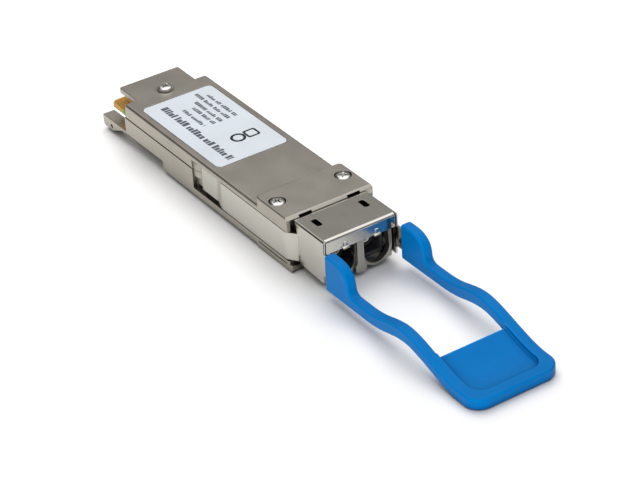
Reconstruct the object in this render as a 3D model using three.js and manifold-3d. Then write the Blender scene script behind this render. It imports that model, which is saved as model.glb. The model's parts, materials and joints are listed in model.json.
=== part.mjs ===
// Pluggable duplex optical transceiver module with a sliding release latch and a pull tab.
// Millimetres. X runs across the width, +Z is up, and the port end faces -Y.
// s is the distance forward of the cover tongue's rear edge, so y = ORIGIN_S - s.
// The origin is the centre of the flat underside, and z = 0 is that face.
// A side is -1 for -X and 1 for +X. A range is [low, high].
import * as THREE from 'three';
import { mergeVertices } from 'three/addons/utils/BufferGeometryUtils.js';
import Module from 'manifold-3d';

const wasm = await Module();
wasm.setup();

// ---------------------------------------------------------------- driving dimensions
const BODY_WIDTH = 18.35;
const HALF_W = BODY_WIDTH / 2;
const Z_TOP = 8.5;          // main top face
const Z_SPLIT = 5.5;        // parting plane between cover and bottom shell
const Z_HEAD = 10.2;        // top of the raised head
const S_SHOULDER = 6.1;     // rear end of the full-width body
const S_STEP = 19.3;        // underside step from rear section to middle section
const S_HEAD = 52.0;        // rear end of the raised head
const S_BODY = 62.15;       // front face of the body
const S_NOSE = 71.0;        // front of the nose
const UNDERSIDE_S = [S_STEP + 0.5, S_HEAD - 0.2];
const ORIGIN_S = (UNDERSIDE_S[0] + UNDERSIDE_S[1]) / 2;

// hollow inside of the two castings: wide at the rear, narrow beside the latch arms
const CAVITY = { wide: 8.3, wideEnd: 29.5, narrow: 6.6, narrowS: [29.0, 61.2] };

const CORE = { half: 7.3, bottom: 0.2, top: 9.05 };    // nose core
const SHEET = 0.4;          // latch sheet thickness
const SLEEVE_HALF = 7.86;   // outside half width of the sheet sleeve
const SLEEVE_PLATE = [SLEEVE_HALF - SHEET, SLEEVE_HALF];
const SLEEVE_TOP = 9.54;
const SLEEVE_ROOF = [SLEEVE_TOP - SHEET, SLEEVE_TOP];
const BROW_Z = 6.85;        // lower edge of the folded brow
const BROW_FRONT = S_NOSE + 0.42;
const WINDOW_X = 5.0;       // centre of the windows in the sleeve and core tops
const PRONG = { end: 78.2, z: [2.7, 7.0] };     // sheet prongs held in the pull tab
const GUIDE = { x: [3.9, 6.3], rear: 58.2 };    // sleeve tongues that run into the head
const POCKET_X = 8.35;      // floor of the side recess

const PORT_PITCH = 6.25;
const PORT_X = PORT_PITCH / 2;
const PORT_Z = 4.45;        // optical axis height
const RECEPTACLE = { half: 6.0, z: [1.3, 7.6] };

const PCB_BOTTOM = 4.9;
const PCB_TOP = PCB_BOTTOM + 1.0;
const PCB_REAR = -0.6;
const BOARD_GAP = 0.02;     // clearance above and below the board

const SCREW = { head: 1.5, shaft: 0.8 };        // radii
const SCREW_REAR_S = 6.25;
const SCREW_FRONT = { x: 7.0, s: 56.05 };
const LABEL = { half: 7.65, s: [10.2, 37.5], radius: 1.1, thickness: 0.12 };
const SPRING = { x: 7.72, z: 3.7, radius: 0.58, wire: 0.11, turns: 9, s: [45.0, 54.4] };

// ---------------------------------------------------------------- materials
const MATERIALS = {
  shell: { color: 0xb3ada1, metalness: 0.9, roughness: 0.42 },
  cover: { color: 0x9a948b, metalness: 0.9, roughness: 0.4 },
  latch: { color: 0xb9b6b0, metalness: 1.0, roughness: 0.25 },
  tab: { color: 0x0a68b4, metalness: 0.0, roughness: 0.45 },
  screw: { color: 0xd2d2d0, metalness: 1.0, roughness: 0.2 },
  label: { color: 0xf0f2f5, metalness: 0.0, roughness: 0.5 },
  board: { color: 0x2f7a44, metalness: 0.1, roughness: 0.5 },
  contacts: { color: 0xc88a2e, metalness: 1.0, roughness: 0.3 },
  frontChip: { color: 0x26282b, metalness: 0.1, roughness: 0.5 },
  rearChip: { color: 0x222427, metalness: 0.1, roughness: 0.5 },
  inductor: { color: 0x4c4a47, metalness: 0.3, roughness: 0.6 },
  thermalPad: { color: 0x8fa7b8, metalness: 0.0, roughness: 0.9 },
  optic: { color: 0xc9a24a, metalness: 1.0, roughness: 0.3 },
  flex: { color: 0xc7782a, metalness: 0.1, roughness: 0.5 },
  ferrule: { color: 0xf1efe8, metalness: 0.0, roughness: 0.3 },
  clamp: { color: 0x6d7073, metalness: 0.9, roughness: 0.4 },
  receptacle: { color: 0x1c1d20, metalness: 0.1, roughness: 0.55 },
  gasket: { color: 0x4a4c50, metalness: 0.4, roughness: 0.8 },
  spring: { color: 0xcfd1d3, metalness: 1.0, roughness: 0.3 },
};

// ---------------------------------------------------------------- solid helpers
function toManifold(geometry) {
  geometry.deleteAttribute('normal');
  geometry.deleteAttribute('uv');
  const merged = mergeVertices(geometry, 1e-4);
  return new wasm.Manifold(new wasm.Mesh({
    numProp: 3,
    vertProperties: new Float32Array(merged.attributes.position.array),
    triVerts: new Uint32Array(merged.index.array),
  }));
}

function toGeometry(solid) {
  const mesh = solid.getMesh();
  const geometry = new THREE.BufferGeometry();
  geometry.setAttribute('position', new THREE.Float32BufferAttribute(mesh.vertProperties, 3));
  geometry.setIndex(new THREE.Uint32BufferAttribute(mesh.triVerts, 1));
  geometry.computeVertexNormals();
  return geometry;
}

const union = (solids) => solids.reduce((sum, solid) => sum.add(solid));
const cut = (base, tools) => tools.reduce((rest, tool) => rest.subtract(tool), base);
const bothSides = (make) => [make(-1), make(1)];

// ranges: centred on zero, centred anywhere, and measured outward on one side
const middle = (half) => [-half, half];
const around = (centre, half) => [centre - half, centre + half];
const onSide = (side, [inner, outer]) => (side > 0 ? [inner, outer] : [-outer, -inner]);

function block([x0, x1], [s0, s1], [z0, z1]) {
  const geometry = new THREE.BoxGeometry(x1 - x0, s1 - s0, z1 - z0);
  geometry.translate((x0 + x1) / 2, -(s0 + s1) / 2, (z0 + z1) / 2);
  return toManifold(geometry);
}
const sideBlock = (side, x, s, z) => block(onSide(side, x), s, z);

// extrudes a straight-edged outline along local Z, then places it
function extrude(points, [start, end], placement) {
  const shape = new THREE.Shape(points.map(([u, v]) => new THREE.Vector2(u, v)));
  const geometry = new THREE.ExtrudeGeometry(shape, { depth: end - start, bevelEnabled: false });
  return toManifold(geometry.applyMatrix4(placement));
}
// outline in (s, z), running across x
function sideProfile(points, range) {
  const placement = new THREE.Matrix4().set(0, 0, 1, range[0], 1, 0, 0, 0, 0, 1, 0, 0, 0, 0, 0, 1);
  return extrude(points.map(([s, z]) => [-s, z]), range, placement);
}
// outline in (x, z), running along s
function frontProfile(points, range) {
  const placement = new THREE.Matrix4().set(1, 0, 0, 0, 0, 0, -1, -range[0], 0, 1, 0, 0, 0, 0, 0, 1);
  return extrude(points, range, placement);
}
// outline in (x, s), running up z
function planProfile(points, range) {
  const placement = new THREE.Matrix4().makeTranslation(0, 0, range[0]);
  return extrude(points.map(([x, s]) => [x, -s]), range, placement);
}

// radii run rear -X, rear +X, front +X, front -X; a lone radius serves all four corners
function roundedRect([x0, x1], [s0, s1], radii, segments = 5) {
  const [rearLow, rearHigh, frontHigh, frontLow] = Array.isArray(radii) ? radii : Array(4).fill(radii);
  const corner = (x, s, radius, startAngle) => {
    if (radius <= 0) return [[x, s]];
    return Array.from({ length: segments + 1 }, (_, i) => {
      const angle = startAngle + (Math.PI / 2) * (i / segments);
      return [x + radius * Math.cos(angle), s + radius * Math.sin(angle)];
    });
  };
  return [
    ...corner(x0 + rearLow, s0 + rearLow, rearLow, Math.PI),
    ...corner(x1 - rearHigh, s0 + rearHigh, rearHigh, -Math.PI / 2),
    ...corner(x1 - frontHigh, s1 - frontHigh, frontHigh, 0),
    ...corner(x0 + frontLow, s1 - frontLow, frontLow, Math.PI / 2),
  ];
}

// round bars along z, s and x
function barZ(x, s, radius, [z0, z1], segments = 24) {
  const geometry = new THREE.CylinderGeometry(radius, radius, z1 - z0, segments);
  geometry.rotateX(Math.PI / 2);
  geometry.translate(x, -s, (z0 + z1) / 2);
  return toManifold(geometry);
}
function barS(x, z, radius, [s0, s1], segments = 24) {
  const geometry = new THREE.CylinderGeometry(radius, radius, s1 - s0, segments);
  geometry.translate(x, -(s0 + s1) / 2, z);
  return toManifold(geometry);
}
function barX(s, z, radius, [x0, x1], segments = 20) {
  const geometry = new THREE.CylinderGeometry(radius, radius, x1 - x0, segments);
  geometry.rotateZ(Math.PI / 2);
  geometry.translate((x0 + x1) / 2, -s, z);
  return toManifold(geometry);
}
const portBar = (side, radius, s, segments) => barS(side * PORT_X, PORT_Z, radius, s, segments);
const frontScrewBar = (side, radius, z, segments) =>
  barZ(side * SCREW_FRONT.x, SCREW_FRONT.s, radius, z, segments);

// ---------------------------------------------------------------- shared by cover and shell
// side recess for the sliding arm, open at the front of the body
function armRecess(side) {
  const outerX = HALF_W + 1;
  const front = S_BODY + 2;
  const height = [1.45, 7.4];
  return union([
    sideBlock(side, [POCKET_X, outerX], [30.4, front], height),
    sideBlock(side, [CORE.half + 0.05, outerX], [61.0, front], height),
  ]);
}

// ramp block at the rear of the side recess
function latchRamp(side, height) {
  const root = POCKET_X - 0.1;
  const crest = HALF_W - 0.28;
  const outline = [
    [root, 30.3], [crest, 30.3], [crest, 31.6], [POCKET_X + 0.12, 32.6], [root, 32.6],
  ];
  return planProfile(outline.map(([x, s]) => [side * x, s]), height);
}

// hole for an optic barrel through the body's front wall
const barrelHole = (side) => portBar(side, 2.1, [60.5, 63], 28);

// ---------------------------------------------------------------- bottom shell
const SHELL_REAR_Z = 1.9;   // underside of the rear section
const FOOT_Z = -0.62;       // underside of the front foot

function shellBody() {
  const outline = [     // (s, z)
    [S_SHOULDER - 0.3, Z_SPLIT], [S_SHOULDER - 0.3, SHELL_REAR_Z],
    [S_STEP, SHELL_REAR_Z], [S_STEP, 0.35], [UNDERSIDE_S[0], 0],
    [UNDERSIDE_S[1], 0], [UNDERSIDE_S[1], FOOT_Z + 0.25], [S_HEAD + 0.1, FOOT_Z],
    [61.6, FOOT_Z], [62.4, FOOT_Z + 0.12], [62.85, FOOT_Z + 0.42],
    [63.0, FOOT_Z + 0.85], [63.0, 0.75], [S_BODY, 0.75], [S_BODY, Z_SPLIT],
  ];
  return sideProfile(outline, middle(HALF_W));
}

// rear leg beside the card edge, dimpled on its outer face
function shellLeg(side) {
  const rear = -3.0;
  const inner = 6.62;
  const outline = [     // (s, z)
    [rear, 2.4], [rear, 0.7], [rear + 0.25, 0.25], [rear + 0.75, 0], [0.4, 0],
    [2.4, 0.95], [4.4, 1.75], [S_SHOULDER, SHELL_REAR_Z], [S_SHOULDER, 2.4],
  ];
  const leg = sideProfile(outline, onSide(side, [inner, HALF_W]));
  return leg.subtract(barX(0.2, 0.95, 0.42, onSide(side, around(HALF_W, 0.5))));
}

// block the sleeve slides on, with its root in the body
function noseCore() {
  return union([
    block(middle(CORE.half), [S_BODY + 0.02, 70.15], [CORE.bottom, CORE.top]),
    block(middle(CORE.half), around(S_BODY, 0.5), [CORE.bottom, Z_SPLIT]),
  ]);
}

// front frame with two round-bottomed port openings
const LOBE = { x: 3.75, z: 3.3, outer: 3.25, inner: 2.75 };
function portFrame() {
  const depth = [69.2, S_NOSE];
  return union([
    block(middle(6.85), depth, [LOBE.z - 0.3, BROW_Z - 0.02]),
    ...bothSides((side) => barS(side * LOBE.x, LOBE.z, LOBE.outer, depth, 36)),
    block(middle(1.15), depth, [CORE.bottom, LOBE.z]),
  ]);
}
function portOpening(side) {
  const depth = [69.0, S_NOSE + 1];
  return union([
    barS(side * LOBE.x, LOBE.z, LOBE.inner, depth, 32),
    sideBlock(side, [0.85, 6.1], depth, [LOBE.z, BROW_Z + 0.5]),
  ]);
}

function shellCavity() {
  const { wide, wideEnd, narrow, narrowS } = CAVITY;
  const top = Z_SPLIT + 1;
  const floor = 0.95;
  return union([
    block(middle(wide), [S_SHOULDER - 1.5, wideEnd], [2.45, top]),
    block(middle(wide), [S_STEP + 1.4, wideEnd], [floor, top]),
    block(middle(narrow), narrowS, [floor, top]),
    block(middle(6.3), [52.8, narrowS[1]], [0.4, top]),
  ]);
}

// pocket in the nose for the port receptacle
function nosePocket() {
  const [bottom, top] = RECEPTACLE.z;
  return block(middle(RECEPTACLE.half + 0.12), [62.6, 69.6], [bottom - 0.15, top + 0.15]);
}

// channel inboard of the arm for the return spring and the arm's inner lug
function springChannel(side) {
  const clearance = 0.75;
  return sideBlock(side, [SPRING.x - clearance, POCKET_X + 0.2],
    [SPRING.s[0] - clearance, SPRING.s[1]], around(SPRING.z, clearance));
}

// board ledges along one inner wall
function boardLedges(side) {
  const overlap = 0.01;
  const height = [4.1, PCB_BOTTOM - BOARD_GAP];
  return union([
    sideBlock(side, [7.3, CAVITY.wide + overlap], [8.2, 28.9], height),
    sideBlock(side, [5.9, CAVITY.narrow + overlap], [30.0, 50.2], height),
  ]);
}

function bottomShell() {
  const threadRadius = SCREW.shaft + 0.05;
  const coreWindow = (side) =>
    block(around(side * WINDOW_X, 0.62), [63.8, 67.0], around(CORE.top, 1));
  let shell = union([shellBody(), ...bothSides(shellLeg), noseCore(), portFrame()]);
  shell = cut(shell, [
    ...bothSides(portOpening), shellCavity(), nosePocket(), ...bothSides(barrelHole),
    ...bothSides(coreWindow), ...bothSides(armRecess), ...bothSides(springChannel),
  ]);
  // rear screw boss goes in after the cavity, so that it is kept
  shell = shell.add(barZ(0, SCREW_REAR_S, 1.55, [2.3, PCB_BOTTOM - BOARD_GAP]));
  shell = cut(shell, [
    barZ(0, SCREW_REAR_S, threadRadius, [2.9, 8]),
    ...bothSides((side) => frontScrewBar(side, threadRadius, [3.1, 8])),
  ]);
  return union([
    shell,
    ...bothSides(boardLedges),
    ...bothSides((side) => latchRamp(side, [4.1, Z_SPLIT - 0.01])),
  ]);
}

// ---------------------------------------------------------------- top cover
const ROOF_Z = Z_TOP - 1.1;     // underside of the cover roof

// full cross-section with chamfered top edges, longer than the part it trims
function chamferedSection(half, top, chamfer) {
  return frontProfile([
    [-half, Z_SPLIT], [half, Z_SPLIT], [half, top - chamfer],
    [half - chamfer, top], [-half + chamfer, top], [-half, top - chamfer],
  ], [0, 70]);
}

function coverHead() {
  const plan = roundedRect(middle(HALF_W), [S_HEAD, S_BODY], [0.9, 0.9, 0, 0]);
  const bevelled = [    // (s, z)
    [S_HEAD - 1, Z_SPLIT], [S_HEAD - 1, Z_TOP - 0.5], [S_HEAD, Z_TOP - 0.5],
    [S_HEAD, Z_HEAD - 0.3], [S_HEAD + 0.35, Z_HEAD], [S_BODY - 0.2, Z_HEAD],
    [S_BODY, Z_HEAD - 0.2], [S_BODY, Z_SPLIT],
  ];
  return planProfile(plan, [Z_SPLIT, Z_HEAD])
    .intersect(chamferedSection(HALF_W - 0.02, Z_HEAD, 0.3))
    .intersect(sideProfile(bevelled, middle(HALF_W + 1)));
}

function coverCavity() {
  const { wide, wideEnd, narrow, narrowS } = CAVITY;
  const bottom = Z_SPLIT - 1;
  return union([
    block(middle(wide), [S_SHOULDER + 1.2, wideEnd], [bottom, ROOF_Z]),
    block(middle(narrow), narrowS, [bottom, ROOF_Z]),
    block(middle(5.3), [53.0, 61.0], [bottom, 8.7]),
    block(middle(wide), [S_SHOULDER - 1, S_SHOULDER + 1.5], [bottom, PCB_TOP + BOARD_GAP]),
  ]);
}

function labelRecess() {
  const margin = 0.12;
  const length = [LABEL.s[0] - margin, LABEL.s[1] + margin];
  const plan = roundedRect(middle(LABEL.half + margin), length, 1.2);
  return planProfile(plan, [Z_TOP - 0.15, Z_TOP + 1]);
}

// clearance hole and counterbore for a front screw
function frontScrewBore(side) {
  return union([
    frontScrewBar(side, SCREW.shaft + 0.12, [5, 11]),
    frontScrewBar(side, SCREW.head + 0.14, [Z_HEAD - 0.82, 11], 32),
  ]);
}

// slot in the head for a sleeve tongue
function guideSlot(side) {
  return sideBlock(side, [GUIDE.x[0] - 0.12, GUIDE.x[1] + 0.12],
    [GUIDE.rear - 0.6, S_BODY + 1], [SLEEVE_ROOF[0] - 0.1, SLEEVE_TOP + 0.28]);
}

// notch at the front outer corner of the head
function cornerNotch(side) {
  return sideBlock(side, [SLEEVE_HALF - 0.35, HALF_W - 0.3], [S_BODY - 1.3, S_BODY + 1],
    [7.0, Z_HEAD - 0.55]);
}

function topCover() {
  const castingGap = 0.02;
  const main = block(middle(HALF_W), [S_SHOULDER, S_HEAD + 0.9], [Z_SPLIT, Z_TOP])
    .intersect(chamferedSection(HALF_W, Z_TOP, 0.22));
  const headBase = block(middle(HALF_W), [S_HEAD - 0.6, S_BODY], [Z_SPLIT, 7.6]);
  const tonguePlan = roundedRect(middle(6.6), [0, S_SHOULDER + 1], [0.35, 0.35, 0, 0]);
  const tongue = planProfile(tonguePlan, [Z_TOP - 1.1, Z_TOP]);
  const rib = block(middle(1.9), [4.3, S_SHOULDER + 2.4], [PCB_TOP + BOARD_GAP, Z_TOP - 0.2]);
  let cover = union([main, coverHead(), headBase]).subtract(coverCavity());
  cover = union([cover, tongue, rib]);
  cover = cut(cover, [
    labelRecess(), ...bothSides(barrelHole), ...bothSides(frontScrewBore),
    barZ(0, SCREW_REAR_S, SCREW.shaft + 0.12, [5, 11]),
    ...bothSides(armRecess), ...bothSides(guideSlot), ...bothSides(cornerNotch),
  ]);
  const rampHeight = [Z_SPLIT + castingGap, 6.3];
  cover = union([cover, ...bothSides((side) => latchRamp(side, rampHeight))]);
  // keep a hairline between the two castings
  return cover.subtract(block(middle(20), [-5, 80], [0, Z_SPLIT + castingGap]));
}

// ---------------------------------------------------------------- latch slider, one formed sheet
const ARM = { z: [1.65, 7.25], outer: 9.165 };
const TIP = { rear: 33.0, front: 38.6, outer: 8.85, bottom: 2.35 };    // rear end of the arm

// side plate of the sleeve, with its prong reaching forward into the tab
function sleeveSide(side) {
  const [prongBottom, prongTop] = PRONG.z;
  const outline = [     // (s, z)
    [63.15, 9.3], [63.15, 1.65], [66.0, 1.3], [S_NOSE, 0.95], [S_NOSE, 2.4],
    [S_NOSE + 0.6, prongBottom], [PRONG.end, prongBottom], [PRONG.end, prongTop],
    [S_NOSE + 0.6, prongTop], [BROW_FRONT, 7.2], [BROW_FRONT, 9.3],
  ];
  return sideProfile(outline, onSide(side, SLEEVE_PLATE));
}

// arm strip in plan, from the release tip forward to the jog into the side plate
function latchArm(side) {
  const tipInner = TIP.outer - SHEET;
  const armInner = ARM.outer - SHEET;
  const [plateInner, plateOuter] = SLEEVE_PLATE;
  const outline = [     // (x, s): outer edge going forward, inner edge coming back
    [TIP.outer, TIP.rear + 0.2], [TIP.outer, TIP.front], [ARM.outer, TIP.front + 1.9],
    [ARM.outer, 61.4], [plateOuter, 63.3], [plateOuter, 64.0],
    [plateInner, 64.0], [plateInner, 63.1], [armInner, 61.2],
    [armInner, TIP.front + 2.0], [tipInner, TIP.front + 0.1], [tipInner, TIP.rear],
  ];
  const strip = planProfile(outline.map(([x, s]) => [side * x, s]), ARM.z);
  return strip.subtract(sideBlock(side, [8, 10], [30, TIP.front + 0.4], [0, TIP.bottom]));
}

// inner lug just behind the return spring
function armLug(side) {
  const [springRear] = SPRING.s;
  return sideBlock(side, [SPRING.x - 0.6, ARM.outer - 0.2],
    [springRear - 0.45, springRear - 0.03], around(SPRING.z, 0.6));
}

function latchSlider() {
  const width = middle(SLEEVE_HALF);
  const guideTongue = (side) => sideBlock(side, GUIDE.x, [GUIDE.rear, 63], SLEEVE_ROOF);
  // small raised block on the front of the brow
  const browBlock = (side) =>
    block(around(side * 3.3, 0.5), [S_NOSE + 0.2, BROW_FRONT + 0.16], [BROW_Z + 0.02, 8.0]);
  const sleeveWindow = (side) => {
    const plan = roundedRect(around(side * WINDOW_X, 0.52), [64.3, 66.4], 0.45, 4);
    return planProfile(plan, around(SLEEVE_TOP, 1));
  };
  const slider = union([
    block(width, [62.55, S_NOSE], SLEEVE_ROOF),
    block(width, [BROW_FRONT - SHEET, BROW_FRONT], [BROW_Z, SLEEVE_TOP]),
    block(width, [S_NOSE - 0.2, BROW_FRONT], SLEEVE_ROOF),    // joins the roof to the brow
    ...bothSides(sleeveSide), ...bothSides(guideTongue), ...bothSides(latchArm),
    ...bothSides(armLug), ...bothSides(browBlock),
  ]);
  return cut(slider, bothSides(sleeveWindow));
}

// ---------------------------------------------------------------- pull tab
const TAB = { outer: 9.05, inner: 6.95, rear: 73.3, front: 115.6 };

// strap surfaces seen from the side, as (s, z); the underside runs forward, the top runs back
const TAB_UNDERSIDE = [
  [TAB.rear, 1.3], [86.0, 1.3], [88.0, 1.48], [90.0, 1.78], [92.0, 2.25], [94.0, 2.66],
  [96.0, 2.86], [97.6, 2.78], [99.0, 2.5], [101.0, 1.98], [103.0, 1.36], [105.0, 0.72],
  [107.0, 0.12], [109.0, -0.36], [110.5, -0.56], [112.0, -0.62], [TAB.front, -0.62],
];
const GRIP_TOP = [
  [111.6, 1.62], [110.0, 1.72], [108.4, 1.98], [107.0, 2.3], [105.0, 2.88], [103.0, 3.5],
];
const TAB_TOP = [
  [TAB.front, 1.6], ...GRIP_TOP, [101.0, 4.14], [99.0, 4.7], [97.5, 5.0], [96.0, 5.16],
  [94.5, 5.12], [92.8, 4.86], [91.0, 4.44], [89.0, 3.92], [87.0, 3.6], [85.0, 3.5],
  [81.6, 3.5], [80.9, 3.62], [80.35, 3.95], [80.1, 4.4], [80.05, 5.5], [79.8, 6.3],
  [79.25, 7.1], [78.45, 7.75], [77.4, 8.2], [76.2, 8.4], [TAB.rear + 0.3, 8.42], [TAB.rear, 8.1],
];

// shallow recess that follows the top of the grip
function gripRecess() {
  const depth = 0.5;
  const floor = [[114, 1.6], ...GRIP_TOP, [101.9, 3.86]].map(([s, z]) => [s, z - depth]);
  const plan = roundedRect(middle(6.9), [102.2, 113.2], [0, 0, 1.9, 1.9]);
  return sideProfile([[101.9, 8], [114, 8], ...floor], middle(7))
    .intersect(planProfile(plan, [-3, 13]));
}

function prongSlot(side) {
  const [inner, outer] = SLEEVE_PLATE;
  const [bottom, top] = PRONG.z;
  return sideBlock(side, [inner - 0.04, outer + 0.04], [TAB.rear - 1, PRONG.end + 0.06],
    [bottom - 0.06, top + 0.06]);
}

function pullTab() {
  const plan = roundedRect(middle(TAB.outer), [TAB.rear - 1, TAB.front], [0, 0, 3.2, 3.2], 6);
  const opening = roundedRect(middle(TAB.inner), [TAB.rear - 2, 102.9], [0, 0, 1.5, 1.5]);
  const strap = sideProfile([...TAB_UNDERSIDE, ...TAB_TOP], middle(TAB.outer))
    .intersect(planProfile(plan, [-2, 12]));
  return cut(strap, [planProfile(opening, [-3, 13]), gripRecess(), ...bothSides(prongSlot)]);
}

// ---------------------------------------------------------------- cover screws
// pan-head screw with a cross slot; seat is the height of the head's underside
function screw({ x, s, seat, headHeight, length }) {
  const { head, shaft } = SCREW;
  const profile = [     // (radius, z), closed on the axis
    [0, -length], [shaft * 0.7, -length], [shaft, -length + 0.35], [shaft, 0], [head, 0],
    [head, headHeight * 0.45], [head - 0.12, headHeight * 0.75],
    [head - 0.42, headHeight * 0.93], [head - 0.85, headHeight], [0, headHeight],
  ];
  const turned = new THREE.LatheGeometry(profile.map(([r, z]) => new THREE.Vector2(r, z)), 30);
  turned.rotateX(Math.PI / 2);
  const slotDepth = 0.5;
  const slot = (angle) => {
    const bar = new THREE.BoxGeometry(1.75, 0.34, 1.2);
    bar.translate(0, 0, headHeight - slotDepth + 1.2 / 2);
    bar.rotateZ(angle);
    return toManifold(bar);
  };
  return cut(toManifold(turned), [slot(0.5), slot(0.5 + Math.PI / 2)]).translate([x, -s, seat]);
}
const rearScrew = () =>
  screw({ x: 0, s: SCREW_REAR_S, seat: Z_TOP + 0.01, headHeight: 0.85, length: 5.2 });
const frontScrew = (side) => screw({
  x: side * SCREW_FRONT.x, s: SCREW_FRONT.s, seat: Z_HEAD - 0.8, headHeight: 0.92, length: 6.0,
});

// ---------------------------------------------------------------- label
function label() {
  const bottom = Z_TOP - 0.14;
  const plan = roundedRect(middle(LABEL.half), LABEL.s, LABEL.radius);
  return planProfile(plan, [bottom, bottom + LABEL.thickness]);
}

// ---------------------------------------------------------------- circuit board and contacts
function circuitBoard() {
  const wide = 8.21;
  const narrow = 6.45;
  const neck = 29.2;
  const front = 50.4;
  const chamfer = 0.7;
  const outline = [     // (x, s)
    [-wide + chamfer, PCB_REAR], [wide - chamfer, PCB_REAR], [wide, PCB_REAR + chamfer],
    [wide, neck], [narrow, neck], [narrow, front],
    [-narrow, front], [-narrow, neck], [-wide, neck], [-wide, PCB_REAR + chamfer],
  ];
  return planProfile(outline, [PCB_BOTTOM, PCB_TOP])
    .subtract(barZ(0, SCREW_REAR_S, SCREW.shaft + 0.25, [4, 7]));
}

// row of edge contacts joined by a bar along their front ends
const CONTACT = { pitch: 0.8, width: 0.54, count: 19, thickness: 0.05 };
function contactRow(bottom) {
  const height = [bottom, bottom + CONTACT.thickness];
  const endX = ((CONTACT.count - 1) / 2) * CONTACT.pitch;
  const contacts = Array.from({ length: CONTACT.count }, (_, i) =>
    block(around(i * CONTACT.pitch - endX, CONTACT.width / 2), [PCB_REAR + 0.45, 4.1], height));
  return union([...contacts, block(middle(endX + CONTACT.width / 2), [4.0, 4.25], height)]);
}

// ---------------------------------------------------------------- board components
const FRONT_CHIP = { x: 3.2, s: 41, size: 4.6, height: 0.85 };

// chip with its rear -X corner cut off
function chip(x, s, width, length, height) {
  const plan = roundedRect(around(x, width / 2), around(s, length / 2), [0.5, 0, 0, 0], 1);
  return planProfile(plan, [PCB_TOP, PCB_TOP + height]);
}
function frontChip(side) {
  const { x, s, size, height } = FRONT_CHIP;
  return chip(side * x, s, size, size, height);
}

function powerInductor() {
  return union([
    block([3.2, 6.6], [13.0, 16.4], [PCB_TOP, PCB_TOP + 1.1]),
    block([3.0, 6.8], [13.7, 15.7], [PCB_TOP, PCB_TOP + 0.35]),
  ]);
}

// pad between a front chip and the cover roof
function thermalPad(side) {
  const { x, s, height } = FRONT_CHIP;
  const plan = roundedRect(around(side * x, 2.0), around(s, 2.0), 0.5, 3);
  return planProfile(plan, [PCB_TOP + height, ROOF_Z - 0.01]);
}

// ---------------------------------------------------------------- optics
const TRANSMIT = { side: -1, rear: 52.2 };
const RECEIVE = { side: 1, rear: 53.2 };

function optic({ side, rear }) {
  return union([
    sideBlock(side, [0.35, 6.05], [rear, 59.6], [1.9, 6.7]),
    portBar(side, 1.95, [59.4, 60.9], 28),
    portBar(side, 1.3, [60.7, 62.7], 24),
  ]);
}

// flexible strip from the board top down the rear face of an optic
function flex({ side, rear }) {
  const outline = [     // (s, z): lower surface going forward, upper surface coming back
    [47.6, PCB_TOP], [50.5, PCB_TOP], [51.1, PCB_TOP - 0.35], [rear - 0.4, 4.9],
    [rear - 0.15, 4.4], [rear - 0.15, 2.6], [rear, 2.6], [rear, 4.45], [rear - 0.24, 5.05],
    [51.2, PCB_TOP - 0.18], [50.55, PCB_TOP + 0.15], [47.6, PCB_TOP + 0.15],
  ];
  return sideProfile(outline, onSide(side, [1.0, 5.4]));
}

const ferruleSleeve = ({ side }) =>
  portBar(side, 0.82, [62.9, 68.1], 24).subtract(portBar(side, 0.63, [62.0, 69.0], 20));

function opticClamp() {
  return union([
    block(middle(6.0), [54.2, 58.8], [6.78, 7.1]),
    block(middle(0.24), [54.6, 58.4], [5.2, 6.9]),
    block(middle(6.0), [56.0, 57.0], [7.05, 7.36]),
  ]);
}

// ---------------------------------------------------------------- port receptacle and gasket
function portReceptacle() {
  const port = (side) => union([
    sideBlock(side, [0.85, 5.4], [64.6, 70], [2.1, 6.7]),
    sideBlock(side, [2.1, 4.15], [65.4, 70], [6.5, 7.3]),
  ]);
  const barrel = (side) => portBar(side, 1.45, [64.0, 68.4], 28);
  const bore = (side) =>
    union([portBar(side, 0.86, [62.0, 68.2], 24), portBar(side, 0.7, [60, 70], 20)]);
  const body = block(middle(RECEPTACLE.half), [63.3, 69.15], RECEPTACLE.z);
  const withBarrels = union([cut(body, bothSides(port)), ...bothSides(barrel)]);
  return cut(withBarrels, bothSides(bore));
}

function gasket() {
  return block(middle(RECEPTACLE.half), [62.72, 63.26], RECEPTACLE.z)
    .subtract(block(middle(5.2), [62, 64], [2.0, 6.9]));
}

// ---------------------------------------------------------------- return springs
class SpringPath extends THREE.Curve {
  constructor(side) {
    super();
    this.side = side;
  }

  getPoint(t, target = new THREE.Vector3()) {
    const endGap = 0.14;
    const rear = SPRING.s[0] + endGap;
    const front = SPRING.s[1] - endGap;
    const radius = SPRING.radius - SPRING.wire;
    const angle = t * SPRING.turns * Math.PI * 2;
    return target.set(
      this.side * SPRING.x + radius * Math.cos(angle),
      -(rear + (front - rear) * t),
      SPRING.z + radius * Math.sin(angle),
    );
  }
}

function returnSpring(side) {
  const wireSection = new THREE.Shape(Array.from({ length: 6 }, (_, i) => {
    const angle = (i / 6) * Math.PI * 2;
    return new THREE.Vector2(SPRING.wire * Math.cos(angle), SPRING.wire * Math.sin(angle));
  }));
  wireSection.closePath();
  return toManifold(new THREE.ExtrudeGeometry(wireSection, {
    steps: SPRING.turns * 12, bevelEnabled: false, extrudePath: new SpringPath(side),
  }));
}

// ---------------------------------------------------------------- assembly
const group = new THREE.Group();
group.name = 'optical_transceiver';

function part(name, solid, material) {
  const geometry = toGeometry(solid).translate(0, ORIGIN_S, 0);
  const mesh = new THREE.Mesh(geometry, new THREE.MeshStandardMaterial(MATERIALS[material]));
  mesh.name = name;
  group.add(mesh);
}

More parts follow.
